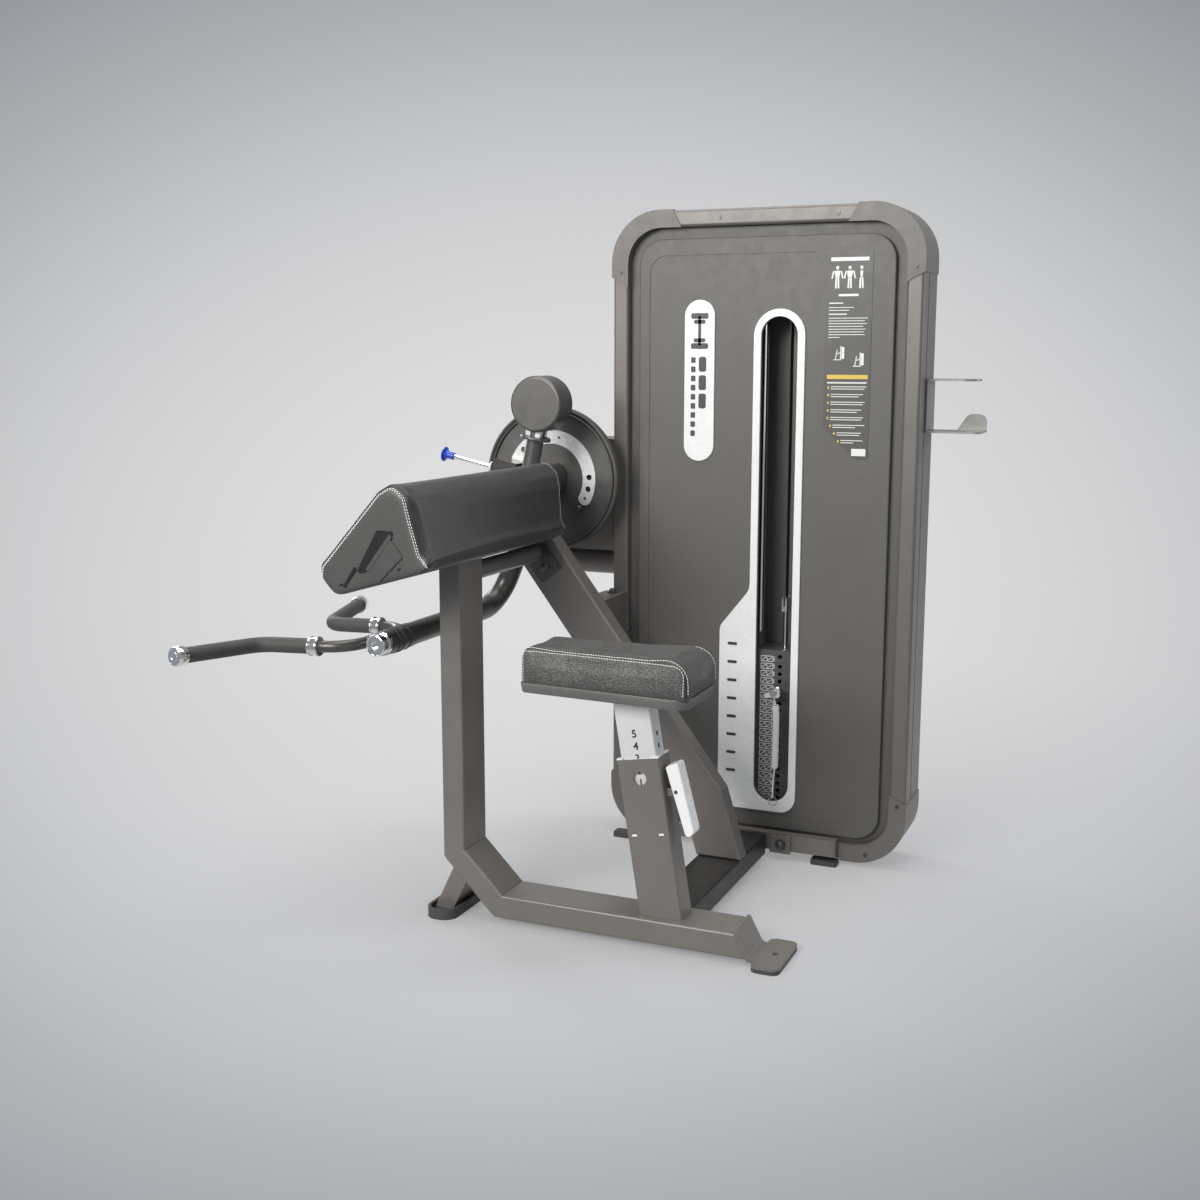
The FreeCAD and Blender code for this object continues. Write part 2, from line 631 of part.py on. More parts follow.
def plate(name, z, thick, stem_hole=8.5):
    """A plate with holes for both guide rods, for the stem, and for the pin at its front."""
    blank = box(name, "plate_wide", "plate_deep", thick,
                (stack_x - size("plate_wide") / 2, stack_y - size("plate_deep") / 2, z))
    tools = [rod(name + "_stem_hole", stem_hole, 60, (stack_x, stack_y, z - 10))]
    for side in (-1, 1):
        tools.append(rod("%s_rod_hole_%d" % (name, side + 1), "rod_width / 2 + 1", 60,
                         (stack_x + side * size("rod_half"), stack_y, z - 10)))
    tools.append(rod(name + "_pin_hole", 5.2, 60, (stack_x, stack_y - 60, z + thick / 2), (0, 1, 0)))
    return cut(name + "_drilled", blank, tools)


def weight_stack():
    """Rods, bumpers, the plates left down, and the plates that the stem carries."""
    rod_low, rod_high = floor_z + face + 0.3, 1299.6
    sides = [stack_x + k * size("rod_half") for k in (-1, 1)]
    rods = [rod("guide_rod_%d" % i, "rod_width / 2", rod_high - rod_low, (x, stack_y, rod_low))
            for i, x in enumerate(sides)]
    node(group("guide_rod_group", rods), "guide_rods")
    bumpers = []
    for i, x in enumerate(sides):
        high = size("stack_low") - rod_low - 0.4
        outer = rod("bumper_%d" % i, 24, high, (x, stack_y, rod_low))
        bore = rod("bumper_bore_%d" % i, 9.4, 90, (x, stack_y, 40))
        bumpers.append(cut("bumper_bored_%d" % i, outer, [bore]))
    node(group("bumper_group", bumpers), "stack_bumpers")

    def plates(name, first, count):
        return [plate("%s_%02d" % (name, i), size("stack_low") + i * pitch, plate_thick)
                for i in range(first, first + count)]
    node(group("resting_group", plates("plate", 0, RESTING)), "plates_resting")
    node(group("lifted_group", plates("plate", RESTING, LIFTED)), "plates_lifted")

    top = plate("top_plate_blank", plates_top, 30, 7.3)
    bushes = []
    for i, x in enumerate(sides):
        bush = rod("rod_bush_%d" % i, 13, 36, (x, stack_y, plates_top + 30))
        bore = rod("rod_bush_bore_%d" % i, 10, 60, (x, stack_y, plates_top + 20))
        bushes.append(cut("rod_bush_bored_%d" % i, bush, [bore]))
    node(join("top_plate_bushed", [top] + bushes), "top_plate")

    stem_low = size("stack_low") + 8
    stem = rod("stem_low", 7, plates_top + 30 - stem_low, (stack_x, stack_y, stem_low))
    neck = rod("stem_high", 6, 90.5, (stack_x, stack_y, plates_top + 29.5))
    centres = [size("stack_low") + i * pitch + plate_thick / 2 for i in range(1, RESTING + LIFTED)]
    holes = [rod("stem_hole_%d" % i, 5, 40, (stack_x, stack_y - 20, z), (0, 1, 0))
             for i, z in enumerate(centres)]
    clamp = box("clamp_block", 18, 34, 34, (stack_x - 9, stack_y - 17, plates_top + 119))
    clamp = rounded("clamp_round", clamp, 4, along((0, 0, 1)))
    jaw = box("clamp_slot", BELT_THICK + 0.6, 40, 30,
              (stack_x - BELT_THICK / 2 - 0.3, stack_y - 20, plates_top + 130))
    node(cut("stem_drilled", join("stem_blank", [stem, neck, clamp]), holes + [jaw]), "selector_stem")


def selector():
    """The pin that picks the plates, with a flanged knob."""
    front_y = stack_y - size("plate_deep") / 2
    shank = rod("pin_shank", 4.7, 88.5, (stack_x, front_y - 42, PIN_Z), (0, 1, 0))
    knob = rod("pin_knob", 8, 20, (stack_x, front_y - 54, PIN_Z), (0, 1, 0))
    flange = rod("pin_flange", 12, 4, (stack_x, front_y - 34, PIN_Z), (0, 1, 0))
    node(join("pin_joined", [shank, knob, flange]), "selector_pin")


LANYARD = [(279, 385, 383), (283.5, 387, 366), (283.5, 390, 320), (282, 393, 265), (281, 395, 212),
           (277, 397, 190), (276, 397, 140)]


def lanyard():
    """The curled lead that hangs from the pin: a thick tube for its coils, a thin one below."""
    def corner(before, here, after):
        a, b = (V(*before) - V(*here)), (V(*after) - V(*here))
        return 0.45 * min(a.Length, b.Length) / math.tan((a.getAngle(b) - math.pi) / -2)
    bends = [corner(*LANYARD[i - 1:i + 2]) for i in range(1, len(LANYARD) - 1)]
    node(feature("lanyard_tube", pipe_shape(LANYARD, bends, size("lanyard_width") / 2)), "pin_lanyard")


# ---------------------------------------------------------------- belt and pulleys
LOW_PULLEY = (143, 850, 45)
BELT_UP_X = LOW_PULLEY[0] + LOW_PULLEY[2] + BELT_THICK / 2
TOP_RADIUS = (stack_x - BELT_UP_X) / 2
TOP_PULLEY = (BELT_UP_X + TOP_RADIUS, 1400, TOP_RADIUS - BELT_THICK / 2)
pivot_x, pivot_z = size("pivot_x"), size("pivot_z")


def belt():
    """The belt from the cam round both pulleys, and its free end down to the stem."""
    t = BELT_THICK / 2
    flat_z = LOW_PULLEY[1] - LOW_PULLEY[2] - t
    up, down, high = BELT_UP_X, stack_x, TOP_PULLEY[1]
    r_low, r_top = LOW_PULLEY[2], TOP_RADIUS
    slim = 0.001
    r_in, r_out = r_top - t - slim, r_top + t - slim
    slab("lift_belt",
         [(pivot_x, flat_z - t, 0), (up + t, flat_z - t, r_low + 2 * t), (up + t, high + r_top - t, r_in),
          (down - t, high + r_top - t, r_in), (down - t, high, 0), (down + t, high, 0),
          (down + t, high + r_top + t, r_out), (up - t, high + r_top + t, r_out),
          (up - t, flat_z + t, r_low), (pivot_x, flat_z + t, 0)], BELT_WIDE, (0, stack_y, 0))
    low_end = plates_top + 153.5
    node(box("belt_drop_box", BELT_THICK, BELT_WIDE, high - 0.3 - low_end,
             (down - t, stack_y - BELT_WIDE / 2, low_end)), "belt_drop")


def pulley(label, centre):
    """A flanged pulley with a bore for its axle."""
    x, z, r = centre
    drum = rod(label + "_drum", r - 0.3, BELT_WIDE + 8, (x, stack_y - BELT_WIDE / 2 - 4, z), (0, 1, 0))
    rims = [rod("%s_rim_%d" % (label, i), r + 6, 3, (x, y, z), (0, 1, 0))
            for i, y in enumerate((stack_y - BELT_WIDE / 2 - 4, stack_y + BELT_WIDE / 2 + 1))]
    bore = rod(label + "_bore", 6.4, 60, (x, stack_y - 30, z), (0, 1, 0))
    node(cut(label + "_bored", join(label + "_blank", [drum] + rims), [bore]), label)


def pulley_brackets():
    """Cheeks and axles for both pulleys, and the plate that holds the rods' upper ends."""
    parts = []
    (top_x, top_axle, _), (low_x, low_axle, _) = TOP_PULLEY, LOW_PULLEY
    for name, x, z, low_z, high_z, x0, x1 in (
            ("top", top_x, top_axle, top_axle - 25, top_z - face - 0.3, top_x - 20, top_x + 20),
            ("low", low_x, low_axle, low_axle - 16, low_axle + 16, left + face + 0.3, low_x + 20)):
        cheeks = [box("%s_cheek_%d" % (name, i), x1 - x0, 5, high_z - low_z, (x0, y, low_z))
                  for i, y in enumerate((stack_y - 23, stack_y + 18))]
        axle = rod(name + "_axle", 6, 50, (x, stack_y - 25, z), (0, 1, 0))
        parts.append(join(name + "_bracket", cheeks + [axle]))
    holder = box("rod_holder", right - left - 2 * face - 0.6, 70, 10, (left + face + 0.3, stack_y - 35, 1300))
    windows = [box("rod_holder_window_%d" % i, 14, 34, 30, (x - 7, stack_y - 17, 1290))
               for i, x in enumerate((BELT_UP_X, stack_x))]
    parts.append(cut("rod_holder_slotted", holder, windows))
    node(group("pulley_bracket_group", parts), "pulley_brackets")


# ---------------------------------------------------------------- pivot unit
def about_pivot(radius, degrees, y):
    """A point at a radius and an angle round the pivot, the angle up from +X."""
    turn = math.radians(degrees)
    return (pivot_x + radius * math.cos(turn), y, pivot_z + radius * math.sin(turn))


def ring(name, outer, inner, y0, thick):
    """A ring round the pivot axis."""
    base = rod(name + "_outer", outer, thick, (pivot_x, y0, pivot_z), (0, 1, 0))
    return cut(name, base, [rod(name + "_inner", inner, thick + 20, (pivot_x, y0 - 10, pivot_z), (0, 1, 0))])


HOLES_R = 98
LOCK_HOLES, SMALL_HOLES = (2.7, -13.7, 120, 138), (-27.7, 78)


def pivot_unit():
    """Shaft, cam drum, disc with its rim, and the drilled range plate."""
    shaft_r = size("shaft_width") / 2
    node(rod("shaft", "shaft_width / 2", 341, (pivot_x, 175, pivot_z), (0, 1, 0)), "pivot_shaft")
    groove = pivot_z - (LOW_PULLEY[1] - LOW_PULLEY[2]) - 0.3
    drum = ring("cam_drum_core", groove, shaft_r + 0.1, stack_y - 17, 34)
    rims = [ring("cam_rim_%d" % i, groove + 7, groove - 5, y, 4)
            for i, y in enumerate((stack_y - 17, stack_y + 13))]
    node(join("cam_drum_joined", [drum] + rims), "cam_drum")
    disc_y = size("disc_front")
    disc = ring("disc_plate", "disc_round", shaft_r + 0.1, disc_y, 8)
    rim = ring("disc_rim", "disc_round", size("disc_round") - 7, disc_y - 4, 18)
    boss = ring("disc_boss", 38, shaft_r + 0.1, disc_y + 2, 44)
    holes = [rod("disc_hole_%d" % i, 6.5, 60, about_pivot(HOLES_R, a, disc_y - 20), (0, 1, 0))
             for i, a in enumerate(LOCK_HOLES[:2])]
    node(cut("disc_drilled", join("disc_joined", [disc, rim, boss]), holes), "cam_disc")
    thick, half_band = 3.6, 16
    first, last = 167, SMALL_HOLES[0]
    plate_y = disc_y - thick - 0.2
    sector = doc.addObject("Part::Cylinder", "range_outer")
    sector.Radius = HOLES_R + half_band
    sector.Height = thick
    sector.Angle = first - last
    upright = FreeCAD.Rotation(V(0, 0, 1), V(0, 1, 0))
    sector.Placement = FreeCAD.Placement(V(pivot_x, plate_y, pivot_z),
                                         FreeCAD.Rotation(V(0, 1, 0), -first) * upright)
    inner = rod("range_inner", HOLES_R - half_band, thick, (pivot_x, plate_y, pivot_z), (0, 1, 0))
    ends = [rod("range_end_%d" % i, half_band, thick, about_pivot(HOLES_R, a, plate_y), (0, 1, 0))
            for i, a in enumerate((first, last))]
    band = join("range_band", [cut("range_sector", sector, [inner])] + ends)
    holes = [rod("range_hole_%d" % i, r, 30, about_pivot(HOLES_R, a, disc_y - 20), (0, 1, 0))
             for i, (a, r) in enumerate([(a, 7) for a in LOCK_HOLES] + [(a, 3.5) for a in SMALL_HOLES])]
    node(cut("range_band_drilled", band, holes), "range_plate")


def housing():
    """The cover of the cam, with holes for the shaft and the belt, and its two bearings."""
    x0, x1, z0, z1, y0, y1 = -375, left - 0.5, 707, 976, 409, 519
    skin = 2.5
    shell = box("housing_box", x1 - x0, y1 - y0, z1 - z0, (x0, y0, z0))
    shell = rounded("housing_round", shell, 10, along((0, 1, 0)))
    inside = box("housing_inside", x1 - x0 - 2 * skin, y1 - y0 - 2 * skin, z1 - z0 - 2 * skin,
                 (x0 + skin, y0 + skin, z0 + skin))
    inside = rounded("housing_inside_round", inside, 8, along((0, 1, 0)))
    hole = rod("housing_shaft_hole", 19, 40, (pivot_x, y0 - 20, pivot_z), (0, 1, 0))
    window = box("housing_belt_window", 20, 42, 30, (x1 - 10, 448, 789))
    node(cut("housing_shell", shell, [inside, hole, window]), "cam_housing")
    bearings = [ring("bearing_%d" % i, 31, size("shaft_width") / 2 + 0.3, y, 14)
                for i, y in enumerate((y0 - 14.3, y1 - skin - 14.3))]
    node(group("bearing_group", bearings), "shaft_bearings")


# ---------------------------------------------------------------- swinging arm
ARM_ANGLE, WEIGHT_ANGLE, PIN_ANGLE = 248, 78.5, 168.5
swivel_x, swivel_z = size("swivel_x"), size("swivel_z")
ARM_END = -134.5


def arm():
    """Hub with its bent tube, the counterweight on its neck, and the swivel's axle."""
    hub_y, hub_end = 170, size("disc_front") - 4.8
    shaft_r = size("shaft_width") / 2
    hub = ring("arm_hub", 40, shaft_r + 0.3, hub_y, hub_end - hub_y)
    start = about_pivot(20, ARM_ANGLE, size("arm_y"))
    bent = pipe_shape([start, (swivel_x, size("arm_y"), swivel_z), (swivel_x, ARM_END, swivel_z)],
                      [80], size("arm_width") / 2, size("arm_width") / 2 - 4)
    core = rod("arm_hub_core", 39.5, 300, (pivot_x, 100, pivot_z), (0, 1, 0))
    tube = cut("arm_tube_fitted", feature("arm_tube_bent", bent), [core])
    flange = rod("arm_flange", 25.4, 6, (swivel_x, ARM_END - 6, swivel_z), (0, 1, 0))
    stub = rod("arm_stub", 12, 118, (swivel_x, ARM_END - 120, swivel_z), (0, 1, 0))
    node(join("arm_welded", [hub, tube, flange, stub]), "arm_tube")
    cap = rod("end_cap", 23, 20, (swivel_x, -272, swivel_z), (0, 1, 0))
    socket = rod("end_cap_socket", 6, 8, (swivel_x, -273, swivel_z), (0, 1, 0))
    bore = rod("end_cap_bore", 12.1, 30, (swivel_x, -262, swivel_z), (0, 1, 0))
    collar = rod("end_collar", 25.5, 9, (swivel_x, -252, swivel_z), (0, 1, 0))
    node(cut("end_cap_drilled", join("end_cap_joined", [cap, collar]), [socket, bore]), "arm_end_cap")

    weight_y = 194
    reach = 184 - size("weight_round")
    neck = rod("neck_bar", 20, reach - 36, about_pivot(39.7, WEIGHT_ANGLE, weight_y),
               (math.cos(math.radians(WEIGHT_ANGLE)), 0, math.sin(math.radians(WEIGHT_ANGLE))))
    core = rod("neck_hub_core", 40.3, 300, (pivot_x, 100, pivot_z), (0, 1, 0))
    far = rod("neck_weight_core", size("weight_round") + 0.3, 200, about_pivot(184, WEIGHT_ANGLE, 100),
              (0, 1, 0))
    node(cut("neck_fitted", neck, [core, far]), "counterweight_neck")
    puck = rod("weight_puck", "weight_round", "weight_long",
               about_pivot(184, WEIGHT_ANGLE, weight_y - size("weight_long") / 2), (0, 1, 0))
    puck = rounded("weight_round_edges", puck, 6, lambda e: e.Curve.TypeId == "Part::GeomCircle")
    node(puck, "counterweight")


def range_puller():
    """Housing of the lock pin on the arm, the pull rod with its knob, and the pin itself."""
    radial = (math.cos(math.radians(PIN_ANGLE)), 0, math.sin(math.radians(PIN_ANGLE)))
    across = (-radial[2], 0, radial[0])
    arm_y = size("arm_y")

    def bar(name, r0, r1, wide, deep_y, y):
        """A bar that lies along the radial direction of the pin."""
        start = V(*about_pivot(r0, PIN_ANGLE, y)) - V(*across) * (wide / 2)
        thing = doc.addObject("Part::Box", name)
        thing.Length = r1 - r0
        thing.Width = deep_y
        thing.Height = wide
        thing.Placement = FreeCAD.Placement(start, FreeCAD.Rotation(V(0, 1, 0), -PIN_ANGLE))
        return thing
    block = bar("pin_block", 70, 132, 44, 50, arm_y - 22)
    link = bar("pin_link", 34, 74, 26, 14, arm_y - 7)
    core = rod("pin_hub_core", 40.3, 300, (pivot_x, 100, pivot_z), (0, 1, 0))
    bore = rod("pin_bore", 8.3, 60, about_pivot(98, PIN_ANGLE, arm_y - 16), (0, 1, 0))
    slide = rod("puller_bore", 6.3, 60, about_pivot(108, PIN_ANGLE, arm_y - 12), radial)
    node(cut("pin_block_bored", join("pin_block_joined", [block, link]), [core, bore, slide]), "pin_housing")
    lock = rod("lock_pin_body", 8, 27, about_pivot(98, PIN_ANGLE, 292.5), (0, 1, 0))
    node(lock, "lock_pin")
    puller = rod("puller_rod", 6, 158, about_pivot(110, PIN_ANGLE, arm_y - 12), radial)
    knob = doc.addObject("Part::Cone", "puller_knob")
    knob.Radius1, knob.Radius2, knob.Height = 9, 17, 20
    knob.Placement = FreeCAD.Placement(V(*about_pivot(250, PIN_ANGLE, arm_y - 12)),
                                       FreeCAD.Rotation(V(0, 0, 1), V(*radial)))
    node(join("puller_joined", [puller, knob]), "range_rod")


# ---------------------------------------------------------------- handle
def handle():
    """Swivel sleeve and bent bar, the grips on it, and their collars and end caps."""
    bar_r, grip_r = size("bar_width") / 2, size("grip_width") / 2
    hand = [(-693, 335.2, 578.8), (-640.7, 127, 570), (-427, 119, 577.8)]
    bends = [45, 66]
    path = [(x, mid - y, z) for x, y, z in hand] + [(x, mid + y, z) for x, y, z in reversed(hand)]
    bar = feature("handle_bent", pipe_shape(path, bends + bends[::-1], bar_r))
    sleeve = rod("swivel_sleeve", 26.5, 100, (swivel_x, mid - 50, swivel_z), (0, 1, 0))
    bore = rod("swivel_bore", 12.4, 140, (swivel_x, mid - 70, swivel_z), (0, 1, 0))
    node(cut("handle_bored", join("handle_welded", [bar, sleeve]), [bore]), "handle_bar")
    grips, rings = [], []
    collar_x = -509.6
    inner = V(*hand[1])
    outer = V(*hand[0])
    towards = (V(*hand[2]) - inner).normalize()
    collar_at = inner + towards * ((collar_x - inner.x) / towards.x)
    outwards = (outer - inner).normalize()
    for sign in (-1, 1):
        def place_hand(p):
            return (p.x, mid + sign * p.y, p.z)
        route = [place_hand(collar_at - towards * 12), place_hand(inner), place_hand(outer - outwards * 14)]
        grips.append(feature("grip_%d" % (sign + 1), pipe_shape(route, [45], grip_r, bar_r + 0.1)))
        for name, at, direction, length in (("collar", collar_at - towards * 11.5, towards, 24),
                                            ("cap", outer - outwards * 13.5, outwards, 22)):
            heading = (direction.x, sign * direction.y, direction.z)
            piece = rod("%s_%d" % (name, sign + 1), 19, length, place_hand(at), heading)
            bore = rod("%s_bore_%d" % (name, sign + 1), bar_r + 0.1, 40 if name == "collar" else 14,
                       place_hand(at - direction * (5 if name == "collar" else 0)), heading)
            rings.append(cut("%s_bored_%d" % (name, sign + 1), piece, [bore]))
    node(group("grip_group", grips), "handle_grips")
    node(group("grip_ring_group", rings), "grip_collars")


# ---------------------------------------------------------------- seat
LEAN = size("seat_lean")
LATCH_Z, LEVER_X, LEVER_Z = 297, 67, 254
lean_turn = FreeCAD.Rotation(V(0, 1, 0), -LEAN)


def on_seat(x, y, z):
    """A point of the seat post's own frame: z up the post, from the beam's top."""
    return V(size("seat_foot_x"), mid, beam_top) + lean_turn.multVec(V(x, y, z))


def seat_box(name, wide, deep_y, high, z0, x=0, y=0):
    """A box centred on the leaning post."""
    thing = doc.addObject("Part::Box", name)
    for prop, value in (("Length", wide), ("Width", deep_y), ("Height", high)):
        bind(thing, prop, value)
    doc.recompute()
    corner = on_seat(x - thing.Length.Value / 2, y - thing.Width.Value / 2, z0)
    thing.Placement = FreeCAD.Placement(corner, lean_turn)
    return thing


def seat_rod(name, radius, length, start, direction):
    d = lean_turn.multVec(V(*direction))
    return rod(name, radius, length, tuple(on_seat(*start)), tuple(d))


def seat_post():
    """Leaning sleeve with its window, guide pads, and the tube that slides in it."""
    sleeve_top = 327
    floor_cut = box("seat_floor_cut", 300, 200, 60, (100, mid - 100, beam_top - 60 + 0.2))

    def long_edge(edge):
        return edge.Curve.TypeId == "Part::GeomLine" and edge.Length > 200
    outer = seat_box("sleeve_box", "sleeve_wide", "sleeve_deep", sleeve_top + 20, -20)
    outer = rounded("sleeve_round", outer, 4, long_edge)
    bore = seat_box("sleeve_bore", "sleeve_wide - 6", "sleeve_deep - 6", 500, -60)
    window = seat_rod("sleeve_window", 14, 30, (-1, -50, 288), (0, 1, 0))
    latch = seat_rod("sleeve_latch_hole", 6.5, 30, (35, 0, LATCH_Z), (1, 0, 0))
    slots = [seat_rod("sleeve_slot_%d" % i, 4, 30, (x, -50, z), (0, 1, 0))
             for i, (x, z) in enumerate(((-30, 172), (28, 172)))]
    face_x, ear_r = size("sleeve_wide") / 2, 8
    ears = [seat_box("lever_ear_%d" % i, LEVER_X - face_x + 1, 4, 2 * ear_r, LEVER_Z - ear_r,
                     x=(LEVER_X + face_x - 1) / 2, y=y) for i, y in enumerate((-12.5, 12.5))]
    tips = [seat_rod("lever_ear_tip_%d" % i, ear_r, 4, (LEVER_X, y, LEVER_Z), (0, 1, 0))
            for i, y in enumerate((-14.5, 10.5))]
    pivot = seat_rod("lever_pin", 4, 35, (LEVER_X, -17.5, LEVER_Z), (0, 1, 0))
    skin = cut("sleeve_bored", outer, [bore, window, latch, floor_cut] + slots)
    node(join("sleeve_with_ears", [skin] + ears + tips + [pivot]), "seat_sleeve")
    guide = seat_box("guide_box", "sleeve_wide - 6.6", "sleeve_deep - 6.6", 40, sleeve_top - 38)
    lip = seat_box("guide_lip", "sleeve_wide - 1", "sleeve_deep - 1", 3, sleeve_top + 0.3)
    gaps = [seat_box("guide_gap_%d" % i, wide, deep_y, 20, sleeve_top + 0.3)
            for i, (wide, deep_y) in enumerate((("sleeve_wide - 26", 200), (200, "sleeve_deep - 26")))]
    clear = seat_box("guide_bore", "seat_tube_wide + 0.6", "seat_tube_deep + 0.6", 90, sleeve_top - 60)
    latch = seat_rod("guide_latch_hole", 6.5, 60, (20, 0, LATCH_Z), (1, 0, 0))
    window = seat_rod("guide_window", 15, 30, (-1, -50, 288), (0, 1, 0))
    node(cut("guide_bored", join("guide_joined", [guide, lip]), [clear, latch, window] + gaps), "seat_guides")

    seat_low = size("seat_low")
    tube_low = 92
    tube = seat_box("seat_tube_box", "seat_tube_wide", "seat_tube_deep", 420, tube_low)
    tube = rounded("seat_tube_round", tube, 3, long_edge)
    bore = seat_box("seat_tube_bore", "seat_tube_wide - 5", "seat_tube_deep - 5", 500, tube_low - 20)
    above = box("seat_tube_top_cut", 400, 300, 200, (0, mid - 150, seat_low - 6.5))
    holes = [seat_rod("seat_hole_%d" % i, 5.5, 30, (20, 0, LATCH_Z + (i - 4) * size("seat_step")), (1, 0, 0))
             for i in range(8)]
    flat = box("seat_plate", 190, 110, 6, (size("seat_plate_x"), mid - 55, seat_low - 6.5))
    node(join("seat_tube_welded", [cut("seat_tube_bored", tube, [bore, above] + holes), flat]), "seat_tube")


def seat_latch():
    """The lever on the sleeve's rear side and the pin that it draws."""
    solid = blank("lever_blank", [(-23.5, 49.1, 5), (3.1, 60.6, 6), (39.6, -79.9, 12), (23.1, -96.4, 8)],
                  37, tuple(on_seat(LEVER_X, 0, LEVER_Z)),
                  hollow=[(-35, 44.6, 0), (-3, 56.6, 0), (5, 20, 0), (17, -30, 0), (-9, -30, 0), (-39, 0, 0)],
                  hollow_depth=30, edge_round=3,
                  edge_test=lambda e: e.Length > 50 and all(abs(abs(v.Y) - 18.5) < 1e-6 for v in e.Vertexes))
    bore = seat_rod("lever_bore", 4.3, 80, (LEVER_X, -40, LEVER_Z), (0, 1, 0))
    node(cut("lever_bored", solid, [bore]), "seat_lever")
    tube_side = size("seat_tube_wide") / 2
    node(seat_rod("latch_pin_body", 5.2, 12.5, (tube_side + 0.4, 0, LATCH_Z), (1, 0, 0)), "latch_pin")


def seat():
    """Thin shell and cushion of the seat, both wider at the back than at the front."""
    low_z, shell_thick, soft = size("seat_low"), 14, 72.6
    slab("seat_shell",
         [(-51, mid - 60.5, 18), (301, mid - 79.8, 38), (301, mid + 79.8, 38), (-51, mid + 60.5, 18)],
         shell_thick, (0, 0, low_z + shell_thick / 2), role="XY_Plane")
    slab("seat_cushion",
         [(-55, mid - 64, 20), (305, mid - 84, 40), (305, mid + 84, 40), (-55, mid + 64, 20)],
         soft, (0, 0, low_z + shell_thick + 0.4 + soft / 2), role="XY_Plane")


# ---------------------------------------------------------------- arm pad
def pad():
    """The pad's stiff core, and the cushion that wraps its sloping front and back."""
    centre = (0, mid + 38, 0)
    slab("pad_shell",
         [(-380, 749, 6), (-356, 718.5, 6), (-166, 771.5, 4), (-198, 802, 10), (-216, 858, 14),
          (-236, 890, 20), (-264, 870, 20)], "pad_long - 8", centre)
    slab("pad_cushion",
         [(-391, 770, 6), (-391, 751, 5), (-381.5, 749.5, 3), (-264.3, 871, 20), (-236, 891, 20),
          (-215.2, 858.5, 14), (-197.2, 802.5, 10), (-165, 772.3, 2), (-146, 785, 4), (-163, 808, 14),
          (-180, 866, 30), (-192, 914, 22), (-222, 941, 26), (-258, 920, 28)], "pad_long", centre)


# ---------------------------------------------------------------- build, check, write
for build in (base_frame, rear_foot, feet, beams, tower_frame, panels, screws, accessory_holder,
              weight_stack, selector, lanyard, belt, pulley_brackets, pivot_unit, housing, arm,
              range_puller, handle, seat_post, seat_latch, seat, pad):
    build()
pulley("top_pulley", TOP_PULLEY)
pulley("low_pulley", LOW_PULLEY)
doc.recompute()

for thing in doc.Objects:
    if {"Invalid", "Error"} & set(thing.State):
        raise ValueError("%s is in state %s" % (thing.Label, thing.State))
for thing in NODES:
    if thing.Shape.isNull() or not thing.Shape.isValid():
        raise ValueError("%s has no valid shape" % thing.Label)
os.makedirs("parts", exist_ok=True)
for thing in NODES:
    thing.Shape.exportStep("parts/%s.step" % thing.Label)
print("%d sub-parts written" % len(NODES))
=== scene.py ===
"""Looks of the seated arm curl machine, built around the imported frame."""
import json
import math
from math import cos, radians, sin, tau

import bmesh
import bpy
from mathutils import Matrix, Vector
from mathutils.bvhtree import BVHTree
from mathutils.kdtree import KDTree


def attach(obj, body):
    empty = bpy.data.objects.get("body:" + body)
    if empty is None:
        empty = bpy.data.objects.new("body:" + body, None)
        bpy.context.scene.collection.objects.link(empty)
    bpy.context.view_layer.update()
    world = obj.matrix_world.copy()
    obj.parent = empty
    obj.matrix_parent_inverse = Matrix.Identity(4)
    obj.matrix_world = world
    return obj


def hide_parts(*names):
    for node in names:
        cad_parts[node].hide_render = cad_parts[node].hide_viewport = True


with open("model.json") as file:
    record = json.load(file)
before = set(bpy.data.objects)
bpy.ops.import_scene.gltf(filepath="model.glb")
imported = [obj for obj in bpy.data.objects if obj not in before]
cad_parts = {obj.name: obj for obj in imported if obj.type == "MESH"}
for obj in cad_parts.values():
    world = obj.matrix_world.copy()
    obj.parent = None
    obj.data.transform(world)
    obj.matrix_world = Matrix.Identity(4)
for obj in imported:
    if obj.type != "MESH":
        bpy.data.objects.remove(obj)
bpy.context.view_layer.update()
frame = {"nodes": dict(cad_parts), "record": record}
scene = bpy.context.scene
scene.view_settings.view_transform = "Standard"
nodes = frame["nodes"]
MM = 0.001
MIDDLE_Y = -191            # the user's middle plane, in mm like the rest of these
PIVOT_X, PIVOT_Z = -262, 885
SWIVEL_X, SWIVEL_Z = -388.6, 577.8
PRINT = 0.35               # how far a printed mark stands out


def mm(x, y, z):
    return Vector((x, y, z)) * MM


# ---------- camera, floor and light
def camera():
    """The studio view: from the user's rear left, a little above the seat."""
    data = bpy.data.cameras.new("camera")
    data.sensor_width = 36
    data.lens = 43.74
    data.clip_end = 60
    eye = bpy.data.objects.new("camera", data)
    eye.location = (1.228, -2.816, 1.1837)
    eye.rotation_euler = (radians(80.3), 0, radians(23.5))
    scene.collection.objects.link(eye)
    scene.camera = eye


def area_light(name, place, target, size, watts, colour=(1, 1, 1)):
    data = bpy.data.lights.new(name, "AREA")
    data.shape = "RECTANGLE"
    data.size, data.size_y = size
    data.energy = watts
    data.color = colour
    lamp = bpy.data.objects.new(name, data)
    lamp.location = place
    lamp.rotation_euler = (Vector(target) - Vector(place)).to_track_quat("-Z", "Y").to_euler()
    scene.collection.objects.link(lamp)


# a painted pool of light on the floor: brightest in a cone from this point, along this aim
POOL = (1.3, -3.0, 1.5)
POOL_TALL = 1.4
POOL_AIM = Vector((-0.392, 0.905, -0.185 * POOL_TALL)).normalized()
LIT_SHARE = 0.72           # share of the painted pool's colour that the lamps light up
